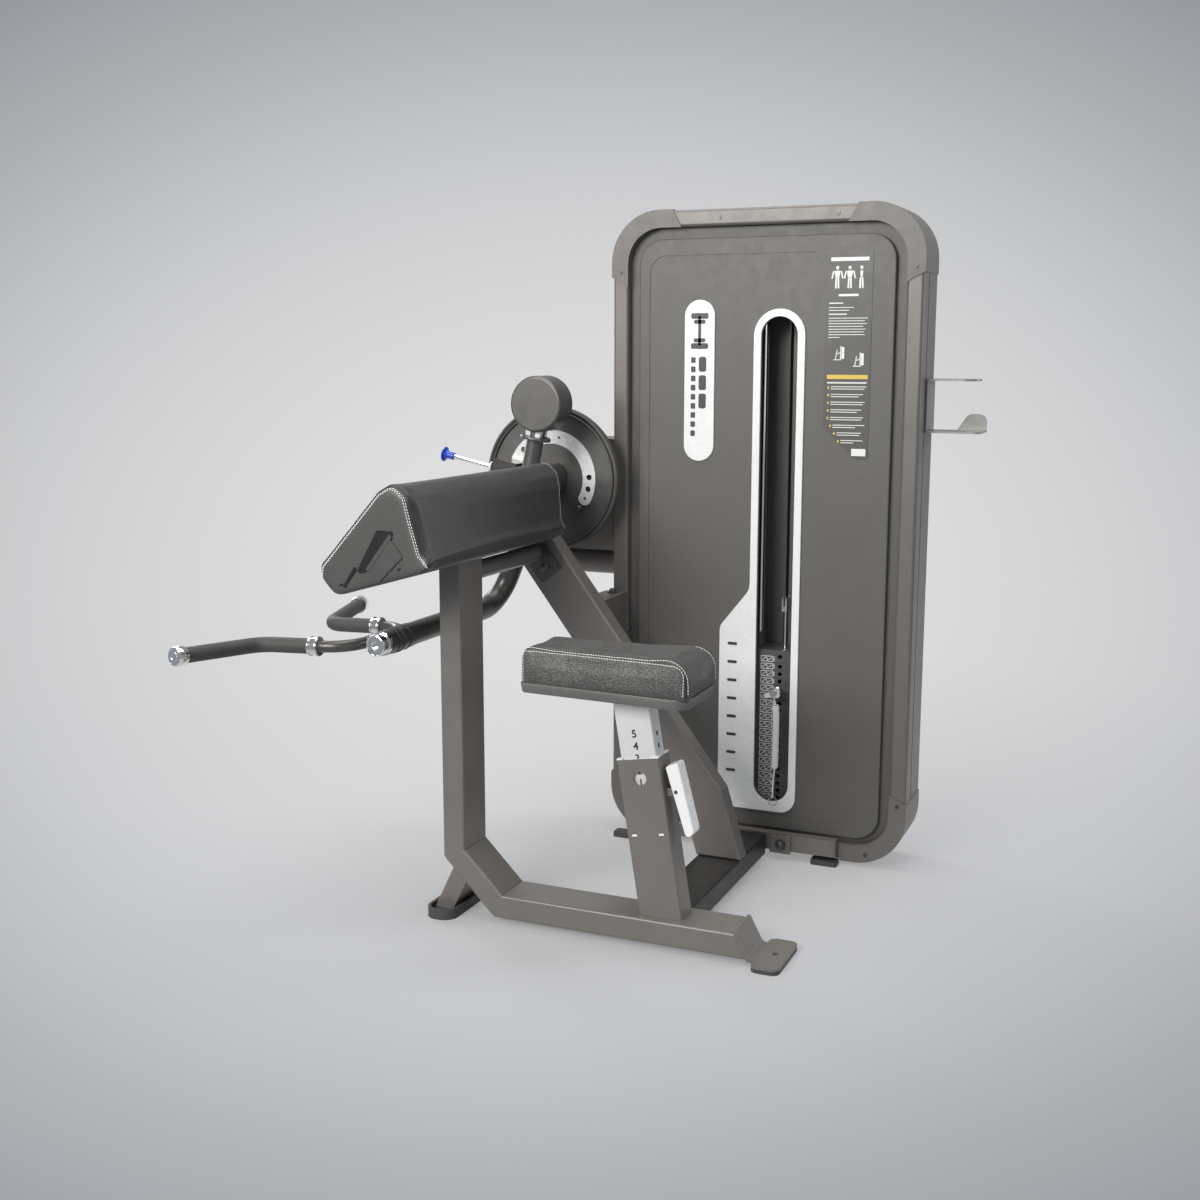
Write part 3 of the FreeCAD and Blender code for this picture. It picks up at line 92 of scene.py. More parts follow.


def painted_light_backdrop():
    """Pale floor paint with a painted pool of light: painted light that darkens and cools away from the pool,
    and a painted glow that grows with distance.
    """
    paint, tree, shader = shade_tree("floor_painted_light_pool")
    link = tree.links.new
    put(shader, {"Roughness": 0.8, "Specular IOR Level": 0.2})
    place = tree.nodes.new("ShaderNodeTexCoord")
    to_lamp = maths(tree, "SUBTRACT", {1: POOL})
    tall = maths(tree, "MULTIPLY", {1: (1, 1, POOL_TALL)})
    unit = maths(tree, "NORMALIZE")
    aim = maths(tree, "DOT_PRODUCT", {1: POOL_AIM})
    link(place.outputs["Object"], to_lamp.inputs[0])
    link(to_lamp.outputs["Vector"], tall.inputs[0])
    link(tall.outputs["Vector"], unit.inputs[0])
    link(unit.outputs["Vector"], aim.inputs[0])
    # painted light: the ramp runs from a cool dark grey outside the pool to pale grey at its middle
    painted_pool = tree.nodes.new("ShaderNodeValToRGB")
    painted_pool.color_ramp.interpolation = "LINEAR"
    stops = ((0.80, (0.27, 0.29, 0.32)), (0.87, (0.425, 0.435, 0.455)), (0.93, (0.595, 0.6, 0.61)),
             (0.983, (0.715, 0.715, 0.72)), (1.0, (0.745, 0.745, 0.745)))
    while len(painted_pool.color_ramp.elements) < len(stops):
        painted_pool.color_ramp.elements.new(0.5)
    for element, (at, colour) in zip(painted_pool.color_ramp.elements, stops):
        element.position = at
        element.color = (*colour, 1)
    link(aim.outputs["Value"], painted_pool.inputs["Fac"])
    dimmed = tree.nodes.new("ShaderNodeMixRGB")
    dimmed.blend_type = "MULTIPLY"
    put(dimmed, {"Fac": 1.0, "Color2": (LIT_SHARE, LIT_SHARE, LIT_SHARE, 1)})
    link(painted_pool.outputs["Color"], dimmed.inputs["Color1"])
    link(dimmed.outputs["Color"], shader.inputs["Base Color"])
    # painted glow: the floor emits the painted pool's colour, more of it further out
    painted_glow = tree.nodes.new("ShaderNodeEmission")
    put(painted_glow, {"Strength": 1.0})
    link(painted_pool.outputs["Color"], painted_glow.inputs["Color"])
    reach = maths(tree, "LENGTH")
    link(place.outputs["Object"], reach.inputs[0])
    far = tree.nodes.new("ShaderNodeMapRange")
    far.interpolation_type = "SMOOTHSTEP"
    put(far, {"From Min": -1.5, "From Max": 3.0})
    link(reach.outputs["Value"], far.inputs["Value"])
    both = tree.nodes.new("ShaderNodeMixShader")
    link(far.outputs["Result"], both.inputs["Fac"])
    link(shader.outputs["BSDF"], both.inputs[1])
    link(painted_glow.outputs["Emission"], both.inputs[2])
    link(both.outputs["Shader"], tree.nodes["Material Output"].inputs["Surface"])
    return paint


def studio():
    """Pale floor that curves up into a backdrop on every side, with a painted pool of light and a painted
    glow, and soft lights.
    """
    mesh = bpy.data.meshes.new("floor")
    bm = bmesh.new()
    sides, flat_to, bend = 96, 5.0, 3
    profile = [(1.5, 0), (3.0, 0), (flat_to, 0)]
    profile += [(flat_to + bend * sin(radians(a)), bend * (1 - cos(radians(a))))
                for a in range(6, 91, 6)]
    profile += [(8.0, 6.0), (7.0, 7.0), (4.0, 8.0)]
    rings = []
    for radius, height in profile:
        rings.append([bm.verts.new((radius * cos(tau * i / sides),
                                    radius * sin(tau * i / sides), height)) for i in range(sides)])
    bm.faces.new(rings[0])
    for inner, outer in zip(rings, rings[1:]):
        for i in range(sides):
            j = (i + 1) % sides
            bm.faces.new((inner[i], outer[i], outer[j], inner[j]))
    bm.to_mesh(mesh)
    bm.free()
    mesh.shade_smooth()
    floor = bpy.data.objects.new("floor", mesh)
    scene.collection.objects.link(floor)
    mesh.materials.append(painted_light_backdrop())
    world = bpy.data.worlds.new("world")
    world.use_nodes = True
    put(world.node_tree.nodes["Background"], {"Color": (0.98, 0.98, 1.0, 1), "Strength": 0.6})
    scene.world = world
    area_light("key", (-0.9, -3.6, 2.3), (0.1, 0, 0.8), (2.4, 1.6), 150, (1.0, 0.985, 0.96))
    area_light("fill", (3.2, -2.6, 1.9), (0.1, 0, 0.7), (1.6, 2.4), 8)
    area_light("top", (0.0, 0.2, 3.9), (0, 0, 0), (3.2, 3.2), 95, (1.0, 0.99, 0.97))
    area_light("rim_left", (-3.0, 1.8, 2.0), (0, 0, 0.8), (0.9, 2.6), 40)
    area_light("rim_right", (3.0, 2.2, 2.0), (0, 0.2, 0.8), (0.9, 2.6), 40)


# ---------- materials
def tint(colour, factor):
    """A colour made lighter or darker."""
    return tuple(min(1.0, c * factor) for c in colour)


def shade_tree(name):
    material = bpy.data.materials.new(name)
    material.use_nodes = True
    tree = material.node_tree
    return material, tree, tree.nodes["Principled BSDF"]


def put(node, values):
    """Set constants on a node's sockets."""
    for socket, value in values.items():
        node.inputs[socket].default_value = value


def maths(tree, operation, constants=None, kind="ShaderNodeVectorMath"):
    made = tree.nodes.new(kind)
    made.operation = operation
    put(made, constants or {})
    return made


def object_place(tree):
    """The object's own coordinates, through one node for each material."""
    place = tree.nodes.get("object_place")
    if place is None:
        place = tree.nodes.new("ShaderNodeTexCoord")
        place.name = "object_place"
    return place.outputs["Object"]


def noise_node(tree, scale, detail, rough, distortion=0.0, stretch=None):
    """Noise in object space; stretch holds three scales and three angles."""
    made = tree.nodes.new("ShaderNodeTexNoise")
    put(made, {"Scale": scale, "Detail": detail, "Roughness": rough, "Distortion": distortion})
    source = object_place(tree)
    if stretch is not None:
        mapping = tree.nodes.new("ShaderNodeMapping")
        put(mapping, {"Scale": stretch[:3], "Rotation": stretch[3:]})
        tree.links.new(source, mapping.inputs["Vector"])
        source = mapping.outputs["Vector"]
    tree.links.new(source, made.inputs["Vector"])
    return made


def ramp_node(tree, source, low, high, low_at=0.3, high_at=0.7):
    """Two colours across a texture's range."""
    made = tree.nodes.new("ShaderNodeValToRGB")
    for element, colour, at in zip(made.color_ramp.elements, (low, high), (low_at, high_at)):
        element.color = (*colour, 1)
        element.position = at
    tree.links.new(source, made.inputs["Fac"])
    return made


def add_bump(tree, shader, height, strength, distance, chain=None):
    """A bump on the shader, on top of the one before it in the chain."""
    made = tree.nodes.new("ShaderNodeBump")
    put(made, {"Strength": strength, "Distance": distance})
    tree.links.new(height, made.inputs["Height"])
    if chain is not None:
        tree.links.new(chain.outputs["Normal"], made.inputs["Normal"])
    tree.links.new(made.outputs["Normal"], shader.inputs["Normal"])
    return made


def surface(name, colour, rough, metallic=0.0, mottle=0.08, mottle_scale=9, grain_scale=700, grain=0.15,
            grain_depth=0.0004, rough_spread=0.06, specular=0.5, peel=0.0, streak=None):
    """A coat or moulding: cloudy colour, uneven roughness, a fine grain and an optional orange peel."""
    material, tree, shader = shade_tree(name)
    cloud = noise_node(tree, mottle_scale, 5, 0.6)
    shades = ramp_node(tree, cloud.outputs["Fac"], tint(colour, 1 - mottle), tint(colour, 1 + mottle))
    tree.links.new(shades.outputs["Color"], shader.inputs["Base Color"])
    smear = noise_node(tree, mottle_scale * 4, 6, 0.7)
    spread = ramp_node(tree, smear.outputs["Fac"], (rough - rough_spread,) * 3, (rough + rough_spread,) * 3)
    tree.links.new(spread.outputs["Color"], shader.inputs["Roughness"])
    fine = noise_node(tree, grain_scale, 2, 0.5, stretch=streak)
    chain = add_bump(tree, shader, fine.outputs["Fac"], grain, grain_depth)
    if peel:
        waves = noise_node(tree, 160, 2, 0.5)
        add_bump(tree, shader, waves.outputs["Fac"], peel, 0.0006, chain)
    put(shader, {"Metallic": metallic, "Specular IOR Level": specular})
    return material


def leather(name, dark, crest_highlight, cell, depth, rough, crease=0.5):
    """Pebbled vinyl: warped cells whose crests are paler, a painted highlight in random patches, with finer
    pores between them and long soft creases.
    """
    material, tree, shader = shade_tree(name)
    link = tree.links.new
    warp = noise_node(tree, 0.35 / cell, 2, 0.5)
    shift = tree.nodes.new("ShaderNodeMixRGB")
    shift.blend_type = "LINEAR_LIGHT"
    put(shift, {"Fac": cell * 0.9})
    link(object_place(tree), shift.inputs["Color1"])
    link(warp.outputs["Color"], shift.inputs["Color2"])
    stretch = tree.nodes.new("ShaderNodeMapping")
    put(stretch, {"Rotation": (0, radians(32), 0), "Scale": (0.62, 1.0, 1.25)})
    link(shift.outputs["Color"], stretch.inputs["Vector"])
    cells = tree.nodes.new("ShaderNodeTexVoronoi")
    cells.feature = "SMOOTH_F1"
    put(cells, {"Scale": 1 / cell, "Smoothness": 0.35})
    link(stretch.outputs["Vector"], cells.inputs["Vector"])
    patches = noise_node(tree, 16, 3, 0.6)
    strength = maths(tree, "MULTIPLY", kind="ShaderNodeMath")
    link(cells.outputs["Distance"], strength.inputs[0])
    link(patches.outputs["Fac"], strength.inputs[1])
    # painted highlight: the cells' crests are paler than their hollows, in random patches
    shades = ramp_node(tree, strength.outputs["Value"], crest_highlight, dark, 0.08, 0.34)
    link(shades.outputs["Color"], shader.inputs["Base Color"])
    gloss = ramp_node(tree, cells.outputs["Distance"], (rough - 0.07,) * 3, (rough + 0.12,) * 3, 0.1, 0.7)
    link(gloss.outputs["Color"], shader.inputs["Roughness"])
    inverted = maths(tree, "SUBTRACT", {0: 1.0}, "ShaderNodeMath")
    link(cells.outputs["Distance"], inverted.inputs[1])
    chain = add_bump(tree, shader, inverted.outputs["Value"], 0.75, depth)
    pores = noise_node(tree, 1600, 2, 0.5)
    chain = add_bump(tree, shader, pores.outputs["Fac"], 0.25, 0.0002, chain)
    folds = noise_node(tree, 28, 3, 0.5, 0.6, (0.6, 0.6, 1.6, 0, 0.5, 0))
    add_bump(tree, shader, folds.outputs["Fac"], crease, 0.0016, chain)
    put(shader, {"Sheen Weight": 0.08})
    return material


FRAME_GREY = (0.152, 0.141, 0.130)
coats = {name: surface(name, colour, rough, **rest) for name, colour, rough, rest in (
    ("frame_paint", tint(FRAME_GREY, 1.2), 0.38, dict(metallic=0.3, peel=0.12, mottle=0.05)),
    ("tower_paint", FRAME_GREY, 0.4, dict(metallic=0.25, peel=0.12, mottle=0.05)),
    ("corner_plastic", tint(FRAME_GREY, 0.9), 0.42, dict(mottle=0.04, grain_scale=1200)),
    ("panel_plastic", (0.108, 0.102, 0.094), 0.46, dict(mottle=0.04, grain_scale=1400, grain=0.3)),
    ("white_trim", (0.83, 0.83, 0.82), 0.28, dict(mottle=0.02, grain=0.05)),
    ("placard_print", (0.075, 0.072, 0.066), 0.4, dict(mottle=0.03, grain=0.05)),
    ("rubber", (0.05, 0.05, 0.05), 0.6, dict(grain_scale=500, grain=0.4)),
    ("grip_foam", (0.055, 0.053, 0.05), 0.62, dict(grain_scale=900, grain=0.6, grain_depth=0.0006)),
    ("black_steel", (0.085, 0.081, 0.076), 0.3, dict(metallic=0.45, grain=0.1, peel=0.1)),
    ("holder_steel", (0.26, 0.255, 0.245), 0.36, dict(metallic=0.5)),
    ("chrome", (0.86, 0.86, 0.85), 0.09, dict(metallic=1.0, mottle=0.03, rough_spread=0.04, grain=0.02)),
    ("steel", (0.52, 0.52, 0.51), 0.28, dict(metallic=1.0, grain=0.12, streak=(0.05, 1, 1, 0, 0, 0))),
    ("stack_iron", (0.085, 0.083, 0.08), 0.42, dict(metallic=0.2, mottle=0.15, grain_scale=350, grain=0.35)),
    ("pulley_plastic", (0.06, 0.06, 0.06), 0.35, {}),
    ("belt", (0.03, 0.03, 0.03), 0.6, dict(grain_scale=500, grain=0.5, streak=(1, 1, 0.1, 0, 0, 0))),
    ("lanyard", (0.82, 0.83, 0.84), 0.22, dict(mottle=0.03)),
    ("puller_blue", (0.015, 0.07, 0.5), 0.25, {}),
    ("seat_tube_paint", (0.66, 0.66, 0.65), 0.34, dict(metallic=0.15, mottle=0.03)),
    ("shell_plastic", (0.125, 0.121, 0.115), 0.48, dict(grain_scale=900, grain=0.3)))}
coats["upholstery"] = leather("upholstery", (0.016, 0.0155, 0.015), (0.031, 0.03, 0.029),
                              0.0022, 0.0003, 0.4, 0.2)
end_leather = leather("end_leather", (0.058, 0.057, 0.053), (0.068, 0.066, 0.062), 0.0024, 0.0002, 0.42, 0.15)
# The seat's top and its grained front panel: the front is also painted lighter than the top, painted light
# and shade for the light that falls from the front.
seat_top_smooth_painted_shade = leather("seat_top_smooth_painted_shade", (0.031, 0.03, 0.028), (0.052, 0.05, 0.047), 0.0034, 0.0006, 0.42, 0.3)
seat_front_grain_painted_light = leather("seat_front_grain_painted_light", (0.055, 0.053, 0.05), (0.115, 0.112, 0.105), 0.0036, 0.0013, 0.42, 0.4)
end_plastic = surface("end_plastic", (0.07, 0.068, 0.065), 0.34, mottle=0.03, grain_scale=900, grain=0.1)
# painted shade: a near-black sheet for the pad's recess and slots
deep_shadow = surface("deep_shadow", (0.016, 0.016, 0.015), 0.7, mottle=0.1, specular=0.2)
# painted shade: the cross beam is coloured near-black for the shadow that falls on it
cross_beam_painted_shade = surface("cross_beam_painted_shade", (0.018, 0.0175, 0.017), 0.42, metallic=0.25, peel=0.1, mottle=0.05)
disc_paint = surface("disc_paint", (0.125, 0.12, 0.114), 0.36, metallic=0.5, mottle=0.04)
bright_plate = surface("bright_plate", (0.82, 0.82, 0.81), 0.26, metallic=0.2, mottle=0.03, grain=0.1)
thread = surface("thread", (0.86, 0.85, 0.82), 0.7, mottle=0.05, grain_scale=2500, grain=0.5)
white_print = surface("white_print", (0.78, 0.78, 0.76), 0.4, mottle=0.02)
dark_print = surface("dark_print", (0.045, 0.044, 0.042), 0.4, mottle=0.05)
yellow_print = surface("yellow_print", (0.72, 0.5, 0.06), 0.42, mottle=0.03)


def dress_frame():
    """Every CAD node takes its slot's material, but for a few with a shade of their own; the cross beam's
    near-black is painted shade.
    """
    slots = {entry["node"]: entry["material_slot"] for entry in frame["record"]["subparts"]}
    for name, thing in nodes.items():
        thing.data.materials.clear()
        thing.data.materials.append(coats[slots[name]])
    for name in ("counterweight", "cam_disc", "counterweight_neck"):
        nodes[name].data.materials[0] = disc_paint
    nodes["range_plate"].data.materials[0] = bright_plate
    # painted shade on the cross beam
    nodes["cross_beam"].data.materials[0] = cross_beam_painted_shade


# ---------- mesh helpers
def basis(direction, origin=(0, 0, 0)):
    """A frame whose Z runs along a direction."""
    turn = Vector(direction).normalized().to_track_quat("Z", "Y").to_matrix().to_4x4()
    return Matrix.Translation(origin) @ turn


def in_xz(u, v, at):
    """An outline drawn as it is seen along Y, at a depth."""
    return mm(u, at, v)


def rounded_outline(points, steps=6):
    """Polygon of (x, z, radius) corners, each replaced by an arc."""
    made = []
    for i, (x, z, radius) in enumerate(points):
        here = Vector((x, z))
        before = Vector(points[i - 1][:2]) - here
        after = Vector(points[(i + 1) % len(points)][:2]) - here
        angle = before.angle(after)
        if radius <= 0 or angle > math.pi - 0.02:
            made.append(here)
            continue
        reach = min(radius / math.tan(angle / 2), 0.49 * before.length, 0.49 * after.length)
        radius = reach * math.tan(angle / 2)
        between = (before.normalized() + after.normalized()).normalized()
        middle = here + between * (radius / sin(angle / 2))
        start = here + before.normalized() * reach - middle
        end = here + after.normalized() * reach - middle
        turn = start.angle_signed(end)
        for k in range(steps + 1):
            made.append(middle + Matrix.Rotation(-turn * k / steps, 2) @ start)
    return made


def inset(points, distance):
    """A closed outline moved inwards by a distance."""
    area = sum(a.x * b.y - b.x * a.y for a, b in zip(points, points[1:] + points[:1]))
    side = 1 if area > 0 else -1
    made = []
    for i, here in enumerate(points):
        run = (points[(i + 1) % len(points)] - points[i - 1]).normalized()
        made.append(here + Vector((-run.y, run.x)) * (side * distance))
    return made


def loft(bm, layers, to_space):
    """Skin a stack of equal closed outlines (offset, points); to_space turns (u, v, offset) into a point."""
    rings = [[bm.verts.new(to_space(p.x, p.y, at)) for p in points] for at, points in layers]
    count = len(rings[0])
    for low, high in zip(rings, rings[1:]):
        for i in range(count):
            j = (i + 1) % count
            bm.faces.new((low[i], low[j], high[j], high[i]))
    bm.faces.new(rings[0][::-1])
    bm.faces.new(rings[-1])


def slab(bm, points, start, thick, edge, to_space):
    """A plate of an outline with eased edges."""
    layers = [(start, inset(points, edge)), (start + edge, points), (start + thick - edge, points),
              (start + thick, inset(points, edge))]
    loft(bm, layers, to_space)


def revolve(bm, profile, place, sides=32):
    """Turn a profile of (radius, height) about the Z of a frame; a radius of 0 closes it."""
    rings = []
    for radius, height in profile:
        if radius == 0:
            rings.append([bm.verts.new(place @ Vector((0, 0, height)))])
            continue
        rings.append([bm.verts.new(place @ Vector((radius * cos(tau * i / sides),
                                                   radius * sin(tau * i / sides), height)))
                      for i in range(sides)])
    for low, high in zip(rings, rings[1:]):
        for i in range(sides):
            j = (i + 1) % sides
            corners = [low[i % len(low)], low[j % len(low)], high[j % len(high)], high[i % len(high)]]
            corners = [c for k, c in enumerate(corners) if c not in corners[:k]]
            bm.faces.new(corners)


def torus(bm, place, radius, tube, sides=40, around=10):
    """A ring of round section about the Z of a frame."""
    rings = []
    for i in range(sides):
        out = Vector((cos(tau * i / sides), sin(tau * i / sides), 0))
        rings.append([])
        for k in range(around):
            a = tau * k / around
            wall = (out * cos(a) + Vector((0, 0, 1)) * sin(a)) * tube
            rings[-1].append(bm.verts.new(place @ (out * radius + wall)))
    for i, low in enumerate(rings):
        high = rings[(i + 1) % sides]
        for k in range(around):
            j = (k + 1) % around
            bm.faces.new((low[k], high[k], high[j], low[j]))


def dome(bm, place, radius, high, sides=20):
    """A low domed head."""
    profile = [(radius * cos(radians(a)), high * sin(radians(a)))
               for a in range(0, 90, 18)]
    revolve(bm, [(radius, -high * 0.6)] + profile + [(0, high)], place, sides)


def piece(bm, name, material, body, sharp=40):
    """A mesh piece that rides on a body."""
    bmesh.ops.recalc_face_normals(bm, faces=bm.faces)
    mesh = bpy.data.meshes.new(name)
    bm.to_mesh(mesh)
    bm.free()
    mesh.shade_smooth()
    mesh.set_sharp_from_angle(angle=radians(sharp))
    thing = bpy.data.objects.new(name, mesh)
    scene.collection.objects.link(thing)
    mesh.materials.append(material)
    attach(thing, body)
    return thing


def flattened(thing, keep_name):
    """Work an object's modifiers into its mesh."""
    graph = bpy.context.evaluated_depsgraph_get()
    mesh = bpy.data.meshes.new_from_object(thing.evaluated_get(graph))
    old = thing.data
    thing.modifiers.clear()
    thing.data = mesh
    bpy.data.meshes.remove(old)
    mesh.name = keep_name


# ---------- cushions
def stuffed(name, outline, y_low, y_high, edge, material, voxel, swell, held, plan=lambda x, y: y):
    """A cushion: a prism with soft ends, remeshed, blown up as cloth, its swell capped, then smoothed.

    held gives how firmly a point is held, and plan moves a point's y for a shape that narrows."""
    bm = bmesh.new()
    ends = [(edge * (1 - cos(radians(a))), edge * (1 - sin(radians(a))))
            for a in (0, 22, 45, 67, 90)]
    layers = [(y_low + back, inset(outline, inwards)) for back, inwards in ends]
    layers += [(y_high - back, inset(outline, inwards)) for back, inwards in reversed(ends)]
    loft(bm, layers, lambda u, v, at: mm(u, plan(u, at), v))
    bmesh.ops.recalc_face_normals(bm, faces=bm.faces)
    mesh = bpy.data.meshes.new(name)
    bm.to_mesh(mesh)
    bm.free()
    thing = bpy.data.objects.new(name, mesh)
    scene.collection.objects.link(thing)
    remesh = thing.modifiers.new("remesh", "REMESH")
    remesh.mode = "VOXEL"
    remesh.voxel_size = voxel
    flattened(thing, name)
    mesh = thing.data
    start = [v.co.copy() for v in mesh.vertices]
    still = thing.vertex_groups.new(name="still")
    for vertex in mesh.vertices:
        weight = held(vertex.co)
        if weight > 0:
            still.add([vertex.index], weight, "REPLACE")
    cloth = thing.modifiers.new("cloth", "CLOTH")
    cloth.settings.use_pressure = True
    cloth.settings.uniform_pressure_force = 4
    cloth.settings.effector_weights.gravity = 0
    cloth.settings.vertex_group_mass = "still"
    cloth.settings.mass = 0.35
    cloth.settings.tension_stiffness = 30
    cloth.settings.compression_stiffness = 30
    cloth.settings.bending_stiffness = 2
    cloth.collision_settings.use_collision = False
    for at in range(1, 21):
        scene.frame_set(at)
    flattened(thing, name)
    mesh = thing.data
    scene.frame_set(1)
    for vertex, old in zip(mesh.vertices, start):
        moved = vertex.co - old
        if moved.length > swell * MM:
            vertex.co = old + moved * (swell * MM / moved.length)
    thing.vertex_groups.clear()
    smooth = thing.modifiers.new("smooth", "SMOOTH")
    smooth.iterations = 4
    smooth.factor = 0.5
    finer = thing.modifiers.new("finer", "SUBSURF")
    finer.levels = finer.render_levels = 1
    flattened(thing, name)
    thing.data.materials.append(material)
    thing.data.shade_smooth()
    return thing


def skin_of(thing):
    """The object's surface, for rays to hit."""
    return BVHTree.FromPolygons([v.co.copy() for v in thing.data.vertices],
                                [list(p.vertices) for p in thing.data.polygons])


def onto(skin, rays):
    """Where rays (start, direction) hit a skin, each place with the skin's normal."""
    made = []
    for start, way in rays:
        place, normal, _, _ = skin.ray_cast(start, way)
        if place is not None:
            made.append((place, normal))
    return made


def even_steps(path, step):
    """Stations (point, normal, direction) at equal steps along (point, normal) pairs."""
    made, carried = [], 0.0
    for (a, na), (b, nb) in zip(path, path[1:]):
        length = (b - a).length
        while carried < length:
            share = carried / length
            made.append((a.lerp(b, share), na.lerp(nb, share).normalized(), (b - a).normalized()))
            carried += step
        carried -= length
    return made


def groove(thing, path, depth, width):
    """Sink an object's skin along a seam."""
    stations = even_steps(path, 0.002)
    tree = KDTree(len(stations))
    for i, (point, _, _) in enumerate(stations):
        tree.insert(point, i)
    tree.balance()
    for vertex in thing.data.vertices:
        _, index, distance = tree.find(vertex.co)
        if distance < 3 * width:
            vertex.co -= stations[index][1] * (depth * math.exp(-(distance / width) ** 2))


def stitched(name, lines, body):
    """Rows of short thread stitches that lie half sunk in the leather."""
    long, gap, thick, around = 0.0044, 0.0014, 0.00085, 6
    bm = bmesh.new()
    for line in lines:
        for point, normal, run in even_steps(line, long + gap):
            across = normal.cross(run).normalized()
            up = run.cross(across).normalized()
            rings = []
            for share, wide in ((-0.5, 0.25), (-0.38, 0.8), (0, 1.0), (0.38, 0.8), (0.5, 0.25)):
                centre = point + run * (long * share) + up * (thick * (0.55 - 1.5 * abs(share) ** 2))
                rings.append([bm.verts.new(centre + (across * cos(a) + up * sin(a)) * thick * wide)
                              for a in (tau * k / around for k in range(around))])
            for low, high in zip(rings, rings[1:]):
                for i in range(around):
                    j = (i + 1) % around
                    bm.faces.new((low[i], low[j], high[j], high[i]))
            bm.faces.new(rings[0][::-1])
            bm.faces.new(rings[-1])
    return piece(bm, name, thread, body, 80)


def outline_line(skin, outline, y, away, plan=lambda x, y: y):
    """The skin's line where rays from outside meet an outline's wrap at one y."""
    middle = sum(outline, Vector((0, 0))) / len(outline)
    rays = []
    for i, here in enumerate(outline):
        run = (outline[(i + 1) % len(outline)] - outline[i - 1]).normalized()
        out = Vector((run.y, -run.x))
        if out.dot(here - middle) < 0:
            out = -out
        start = here + out * away
        rays.append((mm(start.x, plan(start.x, y), start.y), -Vector((out.x, 0, out.y))))
    return onto(skin, rays)


def face_line(skin, outline, y, toward):
    """The skin's line where an outline is pressed on an end face, from a y, towards +Y or -Y."""
    return onto(skin, [(mm(p.x, y, p.y), Vector((0, toward, 0))) for p in outline])


def resampled(points, step=4.0):
    """An open outline cut into even steps of about one length."""
    made = []
    for a, b in zip(points, points[1:]):
        count = max(1, round((b - a).length / step))
        made += [a.lerp(b, k / count) for k in range(count)]
    return made + [points[-1]]


def within(outline, u, v):
    """Whether a point lies inside a closed outline."""
    inside = False
    for a, b in zip(outline, outline[1:] + outline[:1]):
        if (a.y > v) != (b.y > v) and u < a.x + (v - a.y) * (b.x - a.x) / (b.y - a.y):
            inside = not inside
    return inside


def panelled(thing, material, chosen):
    """Give the faces that pass a test a second material."""
    thing.data.materials.append(material)
    for face in thing.data.polygons:
        if chosen(face.center, face.normal):
            face.material_index = 1


def arm_pad():
    """Sloping pad with a rounded crest, double stitching round its ends and a mounting recess."""
    corners = [(-391, 772, 7), (-390, 748, 9), (-356, 717, 13), (-166, 771, 5), (-146, 784, 5),
               (-163, 808, 14), (-180, 866, 30), (-192, 914, 24), (-222, 941, 28), (-258, 920, 30)]
    outline = rounded_outline(corners)
    wide = inset(resampled(outline + outline[:1], 12)[:-1], -3.5)
    flat = inset(wide, 14)
    low, high, lean = -463, 154, 26

    def lean_out(u, y, v):
        """The upper part drifts a little to the right towards the far end."""
        return u + lean * (y - low) / (high - low) * min(1.0, max(0.0, (v - 784) / 100))

    def held(co):
        """The underside and the flat of both ends don't swell."""
        u, y, v = co / MM
        under = v - 719 - (u + 356) * 55 / 204
        on_end = min(abs(y - low), abs(y - high)) < 4
        return 1.0 if under < 2 or (on_end and within(flat, u, v)) else 0.0

    cover = stuffed("arm_pad_cover", wide, low, high, 9, coats["upholstery"], 0.0055, 4.0, held)
    for vertex in cover.data.vertices:
        vertex.co.x = lean_out(*(vertex.co / MM)) * MM
    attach(cover, "frame")
    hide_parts("pad_cushion", "pad_shell")
    panelled(cover, end_leather, lambda at, normal: abs(normal.y) > 0.8)
    rim = rounded_outline([(-392, 752, 0), (-391, 772, 7), (-258, 920, 30), (-222, 941, 28), (-192, 914, 24),
                           (-180, 866, 30), (-163, 808, 14), (-148, 786, 0)], 8)
    rim[0], rim[-1] = Vector((-394, 752)), Vector((-145, 787))
    rim = resampled(rim)
    far_rim = [Vector((lean_out(p.x, high, p.y), p.y)) for p in rim]
    for line, y, side in ((rim, low, -1), (far_rim, high, 1)):
        groove(cover, outline_edge(skin_of(cover), line, y, side, 0.85), 0.0016, 0.0026)
    skin = skin_of(cover)
    lines = [face_line(skin, inset_open(rim, 9), low - 40, 1), outline_edge(skin, rim, low, -1, 1.7),
             outline_line(skin, far_rim, high - 9, 25),
             face_line(skin, inset_open(far_rim, 9), high + 40, -1)]
    stitched("arm_pad_stitches", lines, "frame")
    pad_recess(low)


def inset_open(points, distance):
    """An open outline, walked left to right over its top, moved down and inwards."""
    made = []
    for i, here in enumerate(points):
        run = (points[min(i + 1, len(points) - 1)] - points[max(i - 1, 0)]).normalized()
        made.append(here + Vector((run.y, -run.x)) * distance)
    return made


def outline_edge(skin, rim, y, side, share=1.0, plan=lambda x, y: y):
    """The skin along the rounded edge of an end face; a larger share lies further round onto the wrap."""
    rays = []
    inner = inset_open(rim, 60)
    for here, deep in zip(rim, inner):
        out = (here - deep).normalized() * share
        way = Vector((out.x, side, out.y)).normalized()
        rays.append((mm(here.x, plan(here.x, y), here.y) + way * 0.03, -way))
    return onto(skin, rays)


